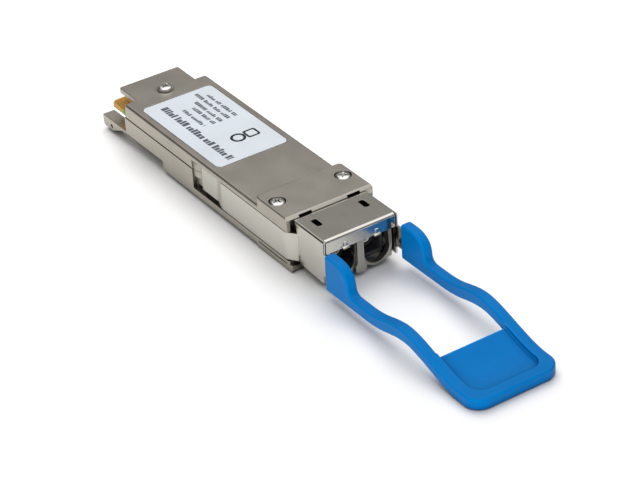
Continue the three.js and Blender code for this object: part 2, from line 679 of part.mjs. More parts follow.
part('bottom_shell', bottomShell(), 'shell');
part('top_cover', topCover(), 'cover');
part('latch_slider', latchSlider(), 'latch');
part('pull_tab', pullTab(), 'tab');
part('screw_rear', rearScrew(), 'screw');
part('screw_front_left', frontScrew(-1), 'screw');
part('screw_front_right', frontScrew(1), 'screw');
part('label', label(), 'label');
part('circuit_board', circuitBoard(), 'board');
part('contact_row_top', contactRow(PCB_TOP), 'contacts');
part('contact_row_bottom', contactRow(PCB_BOTTOM - CONTACT.thickness), 'contacts');
part('driver_chip', frontChip(-1), 'frontChip');
part('receiver_chip', frontChip(1), 'frontChip');
part('controller_chip', chip(0, 22, 6.2, 6.2, 0.8), 'rearChip');
part('memory_chip', chip(-5.2, 14.5, 2.4, 3.2, 0.7), 'rearChip');
part('power_inductor', powerInductor(), 'inductor');
part('thermal_pad_driver', thermalPad(-1), 'thermalPad');
part('thermal_pad_receiver', thermalPad(1), 'thermalPad');
part('transmitter_optic', optic(TRANSMIT), 'optic');
part('receiver_optic', optic(RECEIVE), 'optic');
part('flex_transmit', flex(TRANSMIT), 'flex');
part('flex_receive', flex(RECEIVE), 'flex');
part('ferrule_sleeve_transmit', ferruleSleeve(TRANSMIT), 'ferrule');
part('ferrule_sleeve_receive', ferruleSleeve(RECEIVE), 'ferrule');
part('optic_clamp', opticClamp(), 'clamp');
part('port_receptacle', portReceptacle(), 'receptacle');
part('conductive_gasket', gasket(), 'gasket');
part('return_spring_left', returnSpring(-1), 'spring');
part('return_spring_right', returnSpring(1), 'spring');

export default group;
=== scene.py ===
# A pluggable optical transceiver: a cast shell and cover around a circuit board, a sheet-metal
# latch slider carrying a blue pull tab, two return springs, three screws and a printed label.
#
# Pieces are modelled in millimetres: x runs across, z is up, and s runs forward from the rear
# edge of the cover's tongue towards the pull tab, as y = -s. place() moves a finished piece to
# the frame's own origin and scales it to metres. "side" is -1 on the left and 1 on the right.
# Cutting tools reach a little past the faces they cut.
import json
import math
import random
import bpy
import bmesh
from mathutils import Vector, Matrix

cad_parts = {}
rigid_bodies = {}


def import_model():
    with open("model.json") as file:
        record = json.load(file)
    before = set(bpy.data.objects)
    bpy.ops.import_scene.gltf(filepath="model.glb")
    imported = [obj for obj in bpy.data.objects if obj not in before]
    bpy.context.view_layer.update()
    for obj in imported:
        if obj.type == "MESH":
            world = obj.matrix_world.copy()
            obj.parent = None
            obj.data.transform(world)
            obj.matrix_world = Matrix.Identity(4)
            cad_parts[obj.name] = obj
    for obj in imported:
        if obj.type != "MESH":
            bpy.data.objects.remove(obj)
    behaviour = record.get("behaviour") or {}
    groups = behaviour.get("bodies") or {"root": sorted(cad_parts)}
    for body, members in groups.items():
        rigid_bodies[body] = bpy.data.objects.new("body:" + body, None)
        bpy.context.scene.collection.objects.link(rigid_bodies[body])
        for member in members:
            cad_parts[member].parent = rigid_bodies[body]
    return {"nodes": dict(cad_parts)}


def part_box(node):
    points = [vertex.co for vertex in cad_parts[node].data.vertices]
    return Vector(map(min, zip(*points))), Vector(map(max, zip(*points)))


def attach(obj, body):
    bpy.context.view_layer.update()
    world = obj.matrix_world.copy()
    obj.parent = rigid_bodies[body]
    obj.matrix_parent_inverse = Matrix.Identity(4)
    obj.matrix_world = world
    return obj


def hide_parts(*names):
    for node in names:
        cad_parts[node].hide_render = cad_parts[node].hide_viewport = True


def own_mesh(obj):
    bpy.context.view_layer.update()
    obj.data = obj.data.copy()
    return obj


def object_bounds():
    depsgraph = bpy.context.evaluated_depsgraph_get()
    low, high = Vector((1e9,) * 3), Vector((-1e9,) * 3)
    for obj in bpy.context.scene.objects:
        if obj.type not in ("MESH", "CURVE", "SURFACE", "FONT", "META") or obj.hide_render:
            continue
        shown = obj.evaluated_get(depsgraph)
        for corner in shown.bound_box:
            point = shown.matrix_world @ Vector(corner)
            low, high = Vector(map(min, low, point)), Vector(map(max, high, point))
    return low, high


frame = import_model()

CAD_LO, CAD_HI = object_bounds()
SCENE = bpy.context.scene
ORIGIN_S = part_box("top_cover")[1].y * 1000.0      # frame y of s = 0


def node_box(node):
    """Low and high corners of a frame node, in millimetres from s = 0."""
    lo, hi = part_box(node)
    shift = Vector((0.0, ORIGIN_S, 0.0))
    return lo * 1000.0 - shift, hi * 1000.0 - shift


def frame_point(x, s, z):
    """A modelled point in the frame's metres."""
    return Vector((x, ORIGIN_S - s, z)) / 1000.0


# ------------------------------------------------------------------ shared sizes
shell_lo, shell_hi = node_box("bottom_shell")
cover_lo, cover_hi = node_box("top_cover")
tab_lo, tab_hi = node_box("pull_tab")
label_lo, label_hi = node_box("label")

# housing: half widths, heights and stations along s
HALF_W = shell_hi.x
Z_HEAD, Z_TOP, Z_SPLIT, Z_REAR, Z_FOOT = cover_hi.z, 8.5, 5.5, 1.9, shell_lo.z
LEG_S, S_SHOULDER, S_STEP, S_HEAD = -shell_hi.y, 6.1, 19.3, 52.0
S_BODY, S_NOSE = -cover_lo.y, 71.0
LEG_IN = 6.62
TONGUE_HW, TONGUE_T = 6.6, 1.1
CORE_HW, CORE_BOT, CORE_TOP = 7.3, 0.2, 9.05

# cavity inside the housing: a wide rear part and a narrow front part
WIDE_HW, WIDE_END = 8.3, 29.5
NARROW_HW, NARROW_SPAN = 6.6, (29.0, 61.2)

# latch slider and the side pockets it runs in
SHEET_T = 0.4
NOSE_HW, Z_SLEEVE, Z_BROW = 7.86, 9.54, 6.85
ARM_Z0, ARM_Z1, ARM_OUT = 1.65, 7.25, node_box("latch_slider")[1].x
TIP_S, TIP_END, TIP_OUT, TIP_Z0 = 33.0, 38.6, 8.85, 2.35
POCKET_S, POCKET_X, POCKET_Z = 30.4, 8.35, (1.45, 7.4)
GUIDE_X, GUIDE_S = (3.9, 6.3), 58.2
KEY_X, SLOT_X = 3.3, 5.0
BROW_FRONT = S_NOSE + 0.42

# springs
SPRING_S0, SPRING_S1, SPRING_X, SPRING_Z, SPRING_R = 45.0, 54.4, 7.72, 3.7, 0.58
SPRING_ROOM = 0.75

# ports and the two lobes around them at the nose
PORT_X, PORT_Z, PORT_BORE_R = 3.125, 4.45, 2.1
LOBE_X, LOBE_Z, LOBE_R, LOBE_IN = 3.75, 3.3, 3.25, 2.75

# screws
SCREW_REAR_S, SCREW_FRONT_S, SCREW_FRONT_X = 6.25, 56.05, 7.0
SCREW_R, SHAFT_R = 1.5, 0.8

# pull tab
TAB_OUT, TAB_IN = tab_hi.x, 6.95
TAB_S0, TAB_S1 = -tab_hi.y, -tab_lo.y


# ------------------------------------------------------------------ outlines
def arc(cx, cy, radius, start, end, steps):
    angles = [start + (end - start) * i / steps for i in range(steps + 1)]
    return [(cx + radius * math.cos(a), cy + radius * math.sin(a)) for a in angles]


def rounded_rect(across, up, radii, steps=6):
    """Rounded rectangle between two spans. radii is one number, or four going round from the
    low corner by way of (high across, low up)."""
    (x0, x1), (y0, y1) = across, up
    r = radii if hasattr(radii, "__len__") else [radii] * 4
    corners = [
        (x0 + r[0], y0 + r[0], r[0], math.pi),
        (x1 - r[1], y0 + r[1], r[1], -math.pi / 2),
        (x1 - r[2], y1 - r[2], r[2], 0.0),
        (x0 + r[3], y1 - r[3], r[3], math.pi / 2),
    ]
    points = []
    for cx, cy, radius, start in corners:
        if radius <= 1e-6:
            points.append((cx, cy))
        else:
            points += arc(cx, cy, radius, start, start + math.pi / 2, steps)
    return points


def fillet(points, radii, steps=5):
    """Rounds a polygon's corners; radii is one number or {corner index: radius}."""
    rounded = []
    for i, point in enumerate(points):
        radius = radii.get(i, 0.0) if isinstance(radii, dict) else radii
        corner = Vector(point)
        back = Vector(points[i - 1]) - corner
        ahead = Vector(points[(i + 1) % len(points)]) - corner
        back_length, ahead_length = back.length, ahead.length
        if radius <= 1e-6 or back_length < 1e-6 or ahead_length < 1e-6:
            rounded.append((corner.x, corner.y))
            continue
        back /= back_length
        ahead /= ahead_length
        angle = math.acos(max(-1.0, min(1.0, back.dot(ahead))))
        if angle > math.pi - 0.04:      # nearly straight
            rounded.append((corner.x, corner.y))
            continue
        trim = min(radius / math.tan(angle / 2), 0.49 * back_length, 0.49 * ahead_length)
        fitted = trim * math.tan(angle / 2)
        centre = corner + (back + ahead).normalized() * (fitted / math.sin(angle / 2))
        first, last = corner + back * trim, corner + ahead * trim
        start = math.atan2(first.y - centre.y, first.x - centre.x)
        end = math.atan2(last.y - centre.y, last.x - centre.x)
        sweep_angle = (end - start + math.pi) % (2 * math.pi) - math.pi
        for k in range(steps + 1):
            a = start + sweep_angle * k / steps
            rounded.append((centre.x + fitted * math.cos(a), centre.y + fitted * math.sin(a)))
    return rounded


def spline(points, step):
    """Catmull-Rom curve through points, sampled about every step."""
    curve = []
    for i in range(len(points) - 1):
        p0, p1, p2, p3 = (Vector(points[min(max(k, 0), len(points) - 1)])
                          for k in range(i - 1, i + 3))
        count = max(1, int(round((p2 - p1).length / step)))
        for j in range(count):
            t = j / count
            point = 0.5 * ((2 * p1) + (p2 - p0) * t + (2 * p0 - 5 * p1 + 4 * p2 - p3) * t * t
                           + (3 * p1 - p0 - 3 * p2 + p3) * t ** 3)
            curve.append((point.x, point.y))
    curve.append(tuple(points[-1]))
    return curve


def mirror(points, side):
    return [(side * x, y) for x, y in points]


# ------------------------------------------------------------------ solids
def row_vector(x, s, z):
    return Vector((x, -s, z))


def lay(axis, a, b, level):
    """(x, s, z) of outline point (a, b) at a level along an axis. Outlines are (s, z) along x,
    (x, z) along s and (x, s) along z."""
    return {"x": (level, a, b), "s": (a, level, b), "z": (a, b, level)}[axis]


def mesh_object(bm, name="part"):
    mesh = bpy.data.meshes.new(name)
    bm.to_mesh(mesh)
    bm.free()
    ob = bpy.data.objects.new(name, mesh)
    SCENE.collection.objects.link(ob)
    return ob


def opened(mesh):
    bm = bmesh.new()
    bm.from_mesh(mesh)
    return bm


def face_out(bm):
    bmesh.ops.recalc_face_normals(bm, faces=bm.faces[:])


def round_edges(bm, edges, width, seg=3):
    bmesh.ops.bevel(bm, geom=list(edges), offset=width, offset_type="OFFSET", segments=seg,
                    profile=0.5, affect="EDGES", clamp_overlap=False, loop_slide=True)


def band(bm, ring_a, ring_b):
    """Quads between two closed rings of vertices."""
    count = len(ring_a)
    for i in range(count):
        j = (i + 1) % count
        bm.faces.new((ring_a[i], ring_a[j], ring_b[j], ring_b[i]))


def extrude(bm, outline, span, axis="z"):
    """Adds a closed extrusion of an outline and returns its low end face."""
    low, high = ([bm.verts.new(row_vector(*lay(axis, a, b, level))) for a, b in outline]
                 for level in span)
    low_face = bm.faces.new(low)
    bm.faces.new(high[::-1])
    for i in range(len(outline)):
        j = (i + 1) % len(outline)
        bm.faces.new((low[i], high[i], high[j], low[j]))
    return low_face


def prism(axis, outline, span, round_low=0.0, round_high=0.0, seg=3):
    """Closed prism over a span of an axis; round_low and round_high soften its end loops."""
    lo, hi = sorted(span)
    clean = []
    for point in outline:
        if not clean or (Vector(point) - Vector(clean[-1])).length > 1e-5:
            clean.append(point)
    if (Vector(clean[0]) - Vector(clean[-1])).length < 1e-5:
        clean.pop()
    bm = bmesh.new()
    low_face = extrude(bm, clean, (lo, hi), axis)
    face_out(bm)
    if round_low:
        round_edges(bm, low_face.edges, round_low, seg)
    if round_high:
        def at_high_end(vert):
            level = {"x": vert.co.x, "s": -vert.co.y, "z": vert.co.z}[axis]
            return abs(level - hi) < 1e-6
        ends = [f for f in bm.faces
                if len(f.verts) >= len(clean) and all(at_high_end(v) for v in f.verts)]
        if ends:
            round_edges(bm, ends[0].edges, round_high, seg)
    return mesh_object(bm)


def box(x, s, z, edge=0.0):
    """Box between spans in x, s and z."""
    (x0, x1), (s0, s1), (z0, z1) = sorted(x), s, z
    bm = bmesh.new()
    bmesh.ops.create_cube(bm, size=1.0)
    for v in bm.verts:
        v.co = Vector(((x0 + x1) / 2 + v.co.x * (x1 - x0),
                       -(s0 + s1) / 2 + v.co.y * (s1 - s0),
                       (z0 + z1) / 2 + v.co.z * (z1 - z0)))
    if edge:
        round_edges(bm, bm.edges[:], edge)
    return mesh_object(bm)


def middle_box(half_width, s, z, edge=0.0):
    return box((-half_width, half_width), s, z, edge)


def both(make):
    return [make(-1), make(1)]


def box_pair(x, s, z):
    """A box on the right and its mirror image on the left."""
    return both(lambda side: box((side * x[0], side * x[1]), s, z))


REVOLVE_TURN = {      # turns a height along z to one along s or x
    "s": Matrix(((1, 0, 0, 0), (0, 0, -1, 0), (0, 1, 0, 0), (0, 0, 0, 1))),
    "x": Matrix(((0, 0, 1, 0), (1, 0, 0, 0), (0, 1, 0, 0), (0, 0, 0, 1))),
}


def revolve(profile, sides, base=(0, 0, 0), axis="z"):
    """Solid of revolution about an axis through base, from (radius, height) pairs that start
    and end on it."""
    bm = bmesh.new()
    rings = []
    for radius, height in profile:
        if radius < 1e-6:
            rings.append([bm.verts.new((0, 0, height))])
            continue
        angles = [2 * math.pi * i / sides for i in range(sides)]
        rings.append([bm.verts.new((radius * math.cos(a), radius * math.sin(a), height))
                      for a in angles])
    for low, high in zip(rings[:-1], rings[1:]):
        for i in range(sides):
            j = (i + 1) % sides
            if len(low) == 1 and len(high) > 1:
                bm.faces.new((low[0], high[i], high[j]))
            elif len(high) == 1 and len(low) > 1:
                bm.faces.new((low[i], high[0], low[j]))
            elif len(low) > 1:
                bm.faces.new((low[i], high[i], high[j], low[j]))
    if axis in REVOLVE_TURN:
        bmesh.ops.transform(bm, matrix=REVOLVE_TURN[axis], verts=bm.verts[:])
    bmesh.ops.translate(bm, vec=row_vector(*base), verts=bm.verts[:])
    face_out(bm)
    return mesh_object(bm)


def rod(axis, centre, radius, span, sides, edge=0.0):
    """Round bar along an axis; centre is in the plane across it, as for outlines."""
    lo, hi = sorted(span)
    length = hi - lo
    profile = [(0, 0), (radius, 0), (radius, length), (0, length)]
    if edge:
        profile = [(0, 0), (radius - edge, 0), (radius - edge * 0.3, edge * 0.3),
                   (radius, edge), (radius, length - edge),
                   (radius - edge * 0.3, length - edge * 0.3), (radius - edge, length),
                   (0, length)]
    return revolve(profile, sides, lay(axis, *centre, lo), axis)


def tube(points, radius, sides):
    """Closed round tube along points, with flat ends."""
    bm = bmesh.new()
    rings = []
    up = Vector((0.123, 0.456, 0.881)).normalized()      # any start direction off the path
    for i, point in enumerate(points):
        before, after = points[max(i - 1, 0)], points[min(i + 1, len(points) - 1)]
        forward = (Vector(after) - Vector(before)).normalized()
        across = forward.cross(up).normalized()
        up = across.cross(forward).normalized()
        angles = [2 * math.pi * k / sides for k in range(sides)]
        rings.append([bm.verts.new(
            Vector(point) + (across * math.cos(a) + up * math.sin(a)) * radius) for a in angles])
    for ring_a, ring_b in zip(rings[:-1], rings[1:]):
        band(bm, ring_a, ring_b)
    bm.faces.new(rings[0][::-1])
    bm.faces.new(rings[-1])
    face_out(bm)
    return mesh_object(bm)


def evaluated_mesh(ob):
    """The object's mesh with its modifiers applied; the modifiers are then dropped."""
    depsgraph = bpy.context.evaluated_depsgraph_get()
    mesh = bpy.data.meshes.new_from_object(ob.evaluated_get(depsgraph))
    ob.modifiers.clear()
    return mesh


def boolean(ob, operation, tool):
    modifier = ob.modifiers.new("boolean", "BOOLEAN")
    modifier.operation = operation
    modifier.solver = "MANIFOLD"
    modifier.object = tool
    old = ob.data
    ob.data = evaluated_mesh(ob)
    bpy.data.meshes.remove(old)
    tool_mesh = tool.data
    bpy.data.objects.remove(tool)
    bpy.data.meshes.remove(tool_mesh)
    return ob


def union(parts):
    for part in parts[1:]:
        boolean(parts[0], "UNION", part)
    return parts[0]


def cut(ob, tools):
    for tool in tools:
        boolean(ob, "DIFFERENCE", tool)
    return ob


# ------------------------------------------------------------------ edge rounding
def crossings(bm):
    """Points where a many-sided face's outline crosses itself."""
    def turn(p, q, r):
        return (q[0] - p[0]) * (r[1] - p[1]) - (q[1] - p[1]) * (r[0] - p[0])

    found = []
    for face in bm.faces:
        count = len(face.verts)
        if count < 5:
            continue
        nx, ny, nz = (abs(c) for c in face.normal)
        if nx >= ny and nx >= nz:
            u, v = 1, 2
        else:
            u, v = (0, 2) if ny >= nz else (0, 1)
        flat = [(vert.co[u], vert.co[v]) for vert in face.verts]
        for i in range(count):
            a0, a1 = flat[i], flat[(i + 1) % count]
            for j in range(i + 2, count):
                if i == 0 and j == count - 1:
                    continue
                b0, b1 = flat[j], flat[(j + 1) % count]
                if turn(a0, a1, b0) * turn(a0, a1, b1) >= -1e-12:
                    continue
                start, end = turn(b0, b1, a0), turn(b0, b1, a1)
                if start * end < -1e-12:
                    ahead = face.verts[(i + 1) % count].co
                    found.append(face.verts[i].co.lerp(ahead, start / (start - end)))
    return found


def bevel_room(edge, sharp):
    """Width that the edges meeting this one leave for its bevel."""
    room = 10.0
    for vert in edge.verts:
        direction = (edge.other_vert(vert).co - vert.co).normalized()
        for other in vert.link_edges:
            if other is edge:
                continue
            far = other.other_vert(vert)
            reach = far.co - vert.co
            length = reach.length
            if length < 1e-6:
                continue
            cosine = direction.dot(reach / length)
            sine = math.sqrt(max(0.0, 1.0 - cosine * cosine))
            if sine < 0.5:
                continue
            # an edge with a bevel at its far end too is shared between the two
            share = 0.46 if any(e in sharp for e in far.link_edges) else 0.9
            room = min(room, share * length * sine)
    return room


def bevel_weights(bm, width, angle, where):
    """{sharp edge: share of the full bevel width it can take}."""
    limit = math.radians(angle)
    sharp = {e for e in bm.edges if len(e.link_faces) == 2
             and e.calc_face_angle(0.0) > limit and (where is None or where(e))}
    weights = {e: min(1.0, bevel_room(e, sharp) / width) for e in sharp}
    # a chain tapers towards its narrowest edge instead of tearing
    for _ in range(2):
        tapered = dict(weights)
        for edge in sharp:
            for vert in edge.verts:
                for other in vert.link_edges:
                    if other in weights and other is not edge:
                        tapered[edge] = min(tapered[edge], max(weights[other] * 1.6, 0.12))
        weights = tapered
    return weights


def weighted_bevel(ob, width, seg, values):
    ob.data.attributes["bevel_weight_edge"].data.foreach_set("value", values)
    ob.data.update()
    bevel = ob.modifiers.new("bevel", "BEVEL")
    bevel.width = width
    bevel.segments = seg
    bevel.limit_method = "WEIGHT"
    bevel.use_clamp_overlap = False
    bevel.loop_slide = True
    bevel.miter_outer = "MITER_SHARP"
    return evaluated_mesh(ob)


def relax(levels, ends, bad, width, turn):
    """Narrows, and in later turns drops, the bevels near bad points; False if none is near."""
    changed = False
    for k, (_, start, end) in enumerate(ends):
        if levels[k] <= 0.0:
            continue
        line = end - start

        def gap(point):
            along = (point - start).dot(line) / max(line.length_squared, 1e-12)
            return (start + line * max(0.0, min(1.0, along)) - point).length

        if any(gap(point) < 3.0 * width for point in bad):
            levels[k] = levels[k] * 0.5 if turn < 3 else 0.0
            changed = True
    return changed


def soften(ob, width, seg=2, angle=28.0, where=None):
    """Merges coplanar faces and rounds the edges sharper than angle, as far as room allows."""
    last_turn = 6
    bm = opened(ob.data)
    bmesh.ops.remove_doubles(bm, verts=bm.verts[:], dist=1e-3)
    bmesh.ops.dissolve_degenerate(bm, edges=bm.edges[:], dist=1e-3)
    bmesh.ops.dissolve_limit(bm, angle_limit=math.radians(0.8), use_dissolve_boundaries=False,
                             verts=bm.verts[:], edges=bm.edges[:])
    volume = bm.calc_volume()
    weights = bevel_weights(bm, width, angle, where)
    bm.edges.index_update()
    edges = sorted(weights, key=lambda e: e.index)
    ends = [(e.index, e.verts[0].co.copy(), e.verts[1].co.copy()) for e in edges]
    levels = [weights[e] if weights[e] > 0.1 else 0.0 for e in edges]
    edge_count = len(bm.edges)
    mesh = bpy.data.meshes.new("softened")
    bm.to_mesh(mesh)
    bm.free()
    low = [min(v.co[i] for v in mesh.vertices) - 0.02 for i in range(3)]
    high = [max(v.co[i] for v in mesh.vertices) + 0.02 for i in range(3)]
    mesh.attributes.new("bevel_weight_edge", "FLOAT", "EDGE")
    ob.data = mesh
    for turn in range(last_turn + 1):
        values = [0.0] * edge_count
        for (index, _, _), level in zip(ends, levels):
            values[index] = level
        rounded = weighted_bevel(ob, width, seg, values)
        bm = opened(rounded)
        bmesh.ops.remove_doubles(bm, verts=bm.verts[:], dist=2e-4)
        face_out(bm)
        bad = [v.co.copy() for v in bm.verts
               if any(v.co[i] < low[i] or v.co[i] > high[i] for i in range(3))]
        bad += crossings(bm)
        if not bad or turn == last_turn or not relax(levels, ends, bad, width, turn):
            break
        bm.free()
    if abs(bm.calc_volume() - volume) > 0.06 * abs(volume):
        bm.free()      # the rounding has torn the solid, so its edges stay sharp
        return
    loose = [e for e in bm.edges if not e.link_faces]
    bmesh.ops.delete(bm, geom=loose, context="EDGES")
    lone = [v for v in bm.verts if not v.link_edges]
    bmesh.ops.delete(bm, geom=lone, context="VERTS")
    bm.to_mesh(rounded)
    bm.free()
    ob.data = rounded
    if rounded.attributes.get("bevel_weight_edge"):
        rounded.attributes.remove(rounded.attributes["bevel_weight_edge"])


def place(ob, name, material, stands_for=None, body="housing", smooth=40.0,
          weighted=True):
    """Moves a finished solid into the frame and hands it over. Edges flatter than smooth
    degrees are shaded smooth; stands_for is the frame node it replaces."""
    mesh = ob.data
    mesh.transform(Matrix.Scale(0.001, 4) @ Matrix.Translation((0.0, ORIGIN_S, 0.0)))
    ob.name = name
    mesh.name = name
    bm = opened(mesh)
    limit = math.radians(smooth)
    for face in bm.faces:
        face.smooth = True
    for edge in bm.edges:
        edge.smooth = not (len(edge.link_faces) == 2 and edge.calc_face_angle(0.0) > limit)
    bm.to_mesh(mesh)
    bm.free()
    mesh.materials.clear()
    mesh.materials.append(material)
    if weighted:
        normals = ob.modifiers.new("wn", "WEIGHTED_NORMAL")
        normals.keep_sharp = True
        normals.weight = 60
    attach(ob, body)
    if stands_for:
        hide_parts(stands_for)


# ------------------------------------------------------------------ shader graphs
def srgb(r, g, b):
    """Linear colour of an 8-bit sRGB one."""
    scaled = [c / 255.0 for c in (r, g, b)]
    return tuple(c / 12.92 if c <= 0.04045 else ((c + 0.055) / 1.055) ** 2.4 for c in scaled)


def shade(tone, factor, lift=0.0):
    return tuple(min(1.0, c * factor + lift) for c in tone)


class Graph:
    """A shader node tree. Colours are (r, g, b), and any argument may be a socket."""

    def __init__(self, tree):
        self.tree = tree
        tree.nodes.clear()

    def node(self, kind, **props):
        node = self.tree.nodes.new(kind)
        for key, value in props.items():
            setattr(node, key, value)
        return node

    def feed(self, socket, value):
        if isinstance(value, bpy.types.NodeSocket):
            self.tree.links.new(value, socket)
        elif isinstance(value, tuple):
            socket.default_value = (*value, 1.0)
        else:
            socket.default_value = value

    def remap(self, value, within, to=(0.0, 1.0)):
        node = self.node("ShaderNodeMapRange")
        self.feed(node.inputs["Value"], value)
        for key, number in zip(("From Min", "From Max", "To Min", "To Max"), (*within, *to)):
            node.inputs[key].default_value = number
        return node.outputs[0]

    def math(self, operation, a, b=0.0):
        node = self.node("ShaderNodeMath", operation=operation)
        self.feed(node.inputs[0], a)
        self.feed(node.inputs[1], b)
        return node.outputs[0]

    def mix(self, factor, a, b):
        node = self.node("ShaderNodeMix", data_type="RGBA")
        self.feed(node.inputs["Factor"], factor)
        self.feed(node.inputs[6], a)
        self.feed(node.inputs[7], b)
        return node.outputs[2]

    def split(self, vector):
        node = self.node("ShaderNodeSeparateXYZ")
        self.feed(node.inputs[0], vector)
        return node.outputs


class Surface(Graph):
    """A material with one principled shader and object coordinates in millimetres. Texture
    scales are per millimetre; bump, occlusion and edge distances are in metres."""

    INPUTS = {"color": "Base Color", "metal": "Metallic", "rough": "Roughness", "ior": "IOR",
              "normal": "Normal", "spec": "Specular IOR Level", "tint": "Specular Tint"}

    def __init__(self, name):
        self.material = bpy.data.materials.new(name)
        self.material.use_nodes = True
        super().__init__(self.material.node_tree)
        self.output = self.node("ShaderNodeOutputMaterial")
        self.shader = self.node("ShaderNodeBsdfPrincipled")
        self.feed(self.output.inputs[0], self.shader.outputs[0])
        coords = self.node("ShaderNodeTexCoord")
        scale = self.node("ShaderNodeVectorMath", operation="SCALE")
        scale.inputs["Scale"].default_value = 1000.0
        self.feed(scale.inputs[0], coords.outputs["Object"])
        self.coords = scale.outputs[0]

    def stretched(self, x, y, z):
        node = self.node("ShaderNodeVectorMath", operation="MULTIPLY")
        self.feed(node.inputs[0], self.coords)
        node.inputs[1].default_value = (x, y, z)
        return node.outputs[0]

    def texture(self, kind, vector=None, props=None, **inputs):
        node = self.node(kind, **(props or {}))
        self.feed(node.inputs["Vector"], self.coords if vector is None else vector)
        for key, value in inputs.items():
            node.inputs[key].default_value = value
        return node.outputs

    def noise(self, scale, detail=3.0, rough=0.5, vector=None, distortion=0.0):
        return self.texture("ShaderNodeTexNoise", vector, Scale=scale, Detail=detail,
                            Roughness=rough, Distortion=distortion)["Fac"]

    def stripes(self, **inputs):
        props = {"wave_type": "BANDS", "bands_direction": "X"}
        return self.texture("ShaderNodeTexWave", None, props, **inputs)["Fac"]

    def bump(self, height, strength, distance, under=None):
        """Bump on top of the normal given as under."""
        node = self.node("ShaderNodeBump")
        self.feed(node.inputs["Height"], height)
        node.inputs["Strength"].default_value = strength
        node.inputs["Distance"].default_value = distance
        if under is not None:
            self.feed(node.inputs["Normal"], under)
        return node.outputs[0]

    def painted_shade(self, color, distance, within, amount, tone):
        """Paints shade into corners that nearby surfaces occlude."""
        node = self.node("ShaderNodeAmbientOcclusion", samples=8)
        node.inputs["Distance"].default_value = distance
        return self.mix(self.remap(node.outputs["AO"], within, to=(amount, 0.0)), color, tone)

    def edge(self, radius):
        """0 on flats, 1 along convex and concave edges."""
        bevel = self.node("ShaderNodeBevel", samples=6)
        bevel.inputs["Radius"].default_value = radius
        geometry = self.node("ShaderNodeNewGeometry")
        dot = self.node("ShaderNodeVectorMath", operation="DOT_PRODUCT")
        self.feed(dot.inputs[0], bevel.outputs[0])
        self.feed(dot.inputs[1], geometry.outputs["Normal"])
        return self.remap(dot.outputs["Value"], within=(0.995, 0.86))

    def finish(self, **values):
        for key, value in values.items():
            self.feed(self.shader.inputs[self.INPUTS[key]], value)
        return self.material


# ------------------------------------------------------------------ materials
def cast_metal(name, tone, rough, wide_painted_shade):
    """Plated die casting: satin, faint orange peel, fine grain, painted shade in corners, and
    edges lightened partly by rubbed wear, partly as painted highlight.
    """
    mat = Surface(name)
    cloud = mat.noise(scale=0.16, detail=4.0, rough=0.55)
    grain = mat.noise(scale=7.0, detail=3.0, rough=0.6)
    peel = mat.noise(scale=1.1, detail=2.0)
    spots = mat.noise(scale=0.55, detail=5.0, rough=0.7)
    color = mat.mix(mat.remap(cloud, within=(0.35, 0.65)), shade(tone, 0.95), shade(tone, 1.05))
    color = mat.mix(mat.remap(grain, within=(0.3, 0.7), to=(0.0, 0.10)), color,
                    (0.30, 0.28, 0.25))
    # painted shade: corners, gaps and hollows darkened by occlusion, at a narrow and a wide reach
    color = mat.painted_shade(color, distance=0.0009, within=(0.25, 0.95), amount=0.62,
                     tone=(0.045, 0.042, 0.038))
    color = mat.painted_shade(color, distance=0.0045, within=(0.15, 0.8), amount=wide_painted_shade,
                     tone=(0.05, 0.046, 0.042))
    # edges lightened in spots: partly rubbed wear, partly painted highlight
    edge = mat.edge(radius=0.00018)
    wear_and_edge_highlight = mat.math("MULTIPLY", edge, mat.remap(spots, within=(0.42, 0.62), to=(0.15, 0.75)))
    color = mat.mix(wear_and_edge_highlight, color, (0.80, 0.77, 0.72))
    roughness = mat.math("ADD",
                         mat.remap(grain, within=(0.2, 0.8), to=(rough - 0.05, rough + 0.05)),
                         mat.remap(cloud, within=(0.3, 0.7), to=(-0.03, 0.03)))
    roughness = mat.math("SUBTRACT", roughness, mat.math("MULTIPLY", wear_and_edge_highlight, 0.08))
    normal = mat.bump(peel, strength=0.10, distance=0.00010)
    normal = mat.bump(grain, strength=0.16, distance=0.00002, under=normal)
    return mat.finish(color=color, metal=1.0, rough=roughness, normal=normal)


def sheet_metal():
    """Rolled stainless sheet: draw lines along the length, slow waviness and small scuffs."""
    mat = Surface("sheet_steel")
    tone, rough = (0.70, 0.685, 0.635), 0.17
    lines = mat.noise(scale=1.0, detail=4.0, rough=0.7, vector=mat.stretched(9.0, 0.35, 9.0))
    wave = mat.noise(scale=0.12, detail=2.0)
    scuff = mat.noise(scale=1.4, detail=5.0, rough=0.75, vector=mat.stretched(1.0, 0.5, 1.0),
                      distortion=0.6)
    color = mat.mix(lines, shade(tone, 0.98), shade(tone, 1.02))
    # painted shade in corners and gaps
    color = mat.painted_shade(color, distance=0.0007, within=(0.25, 0.95), amount=0.55,
                     tone=(0.05, 0.048, 0.045))
    # painted highlight: every edge lightened evenly
    edge = mat.edge(radius=0.0001)
    color = mat.mix(mat.math("MULTIPLY", edge, 0.35), color, (0.86, 0.84, 0.80))
    roughness = mat.math("ADD",
                         mat.remap(lines, within=(0.2, 0.8), to=(rough - 0.04, rough + 0.05)),
                         mat.remap(scuff, within=(0.62, 0.75), to=(0.0, 0.12)))
    normal = mat.bump(wave, strength=0.12, distance=0.0006)
    normal = mat.bump(lines, strength=0.05, distance=0.00001, under=normal)
    return mat.finish(color=color, metal=1.0, rough=roughness, normal=normal)


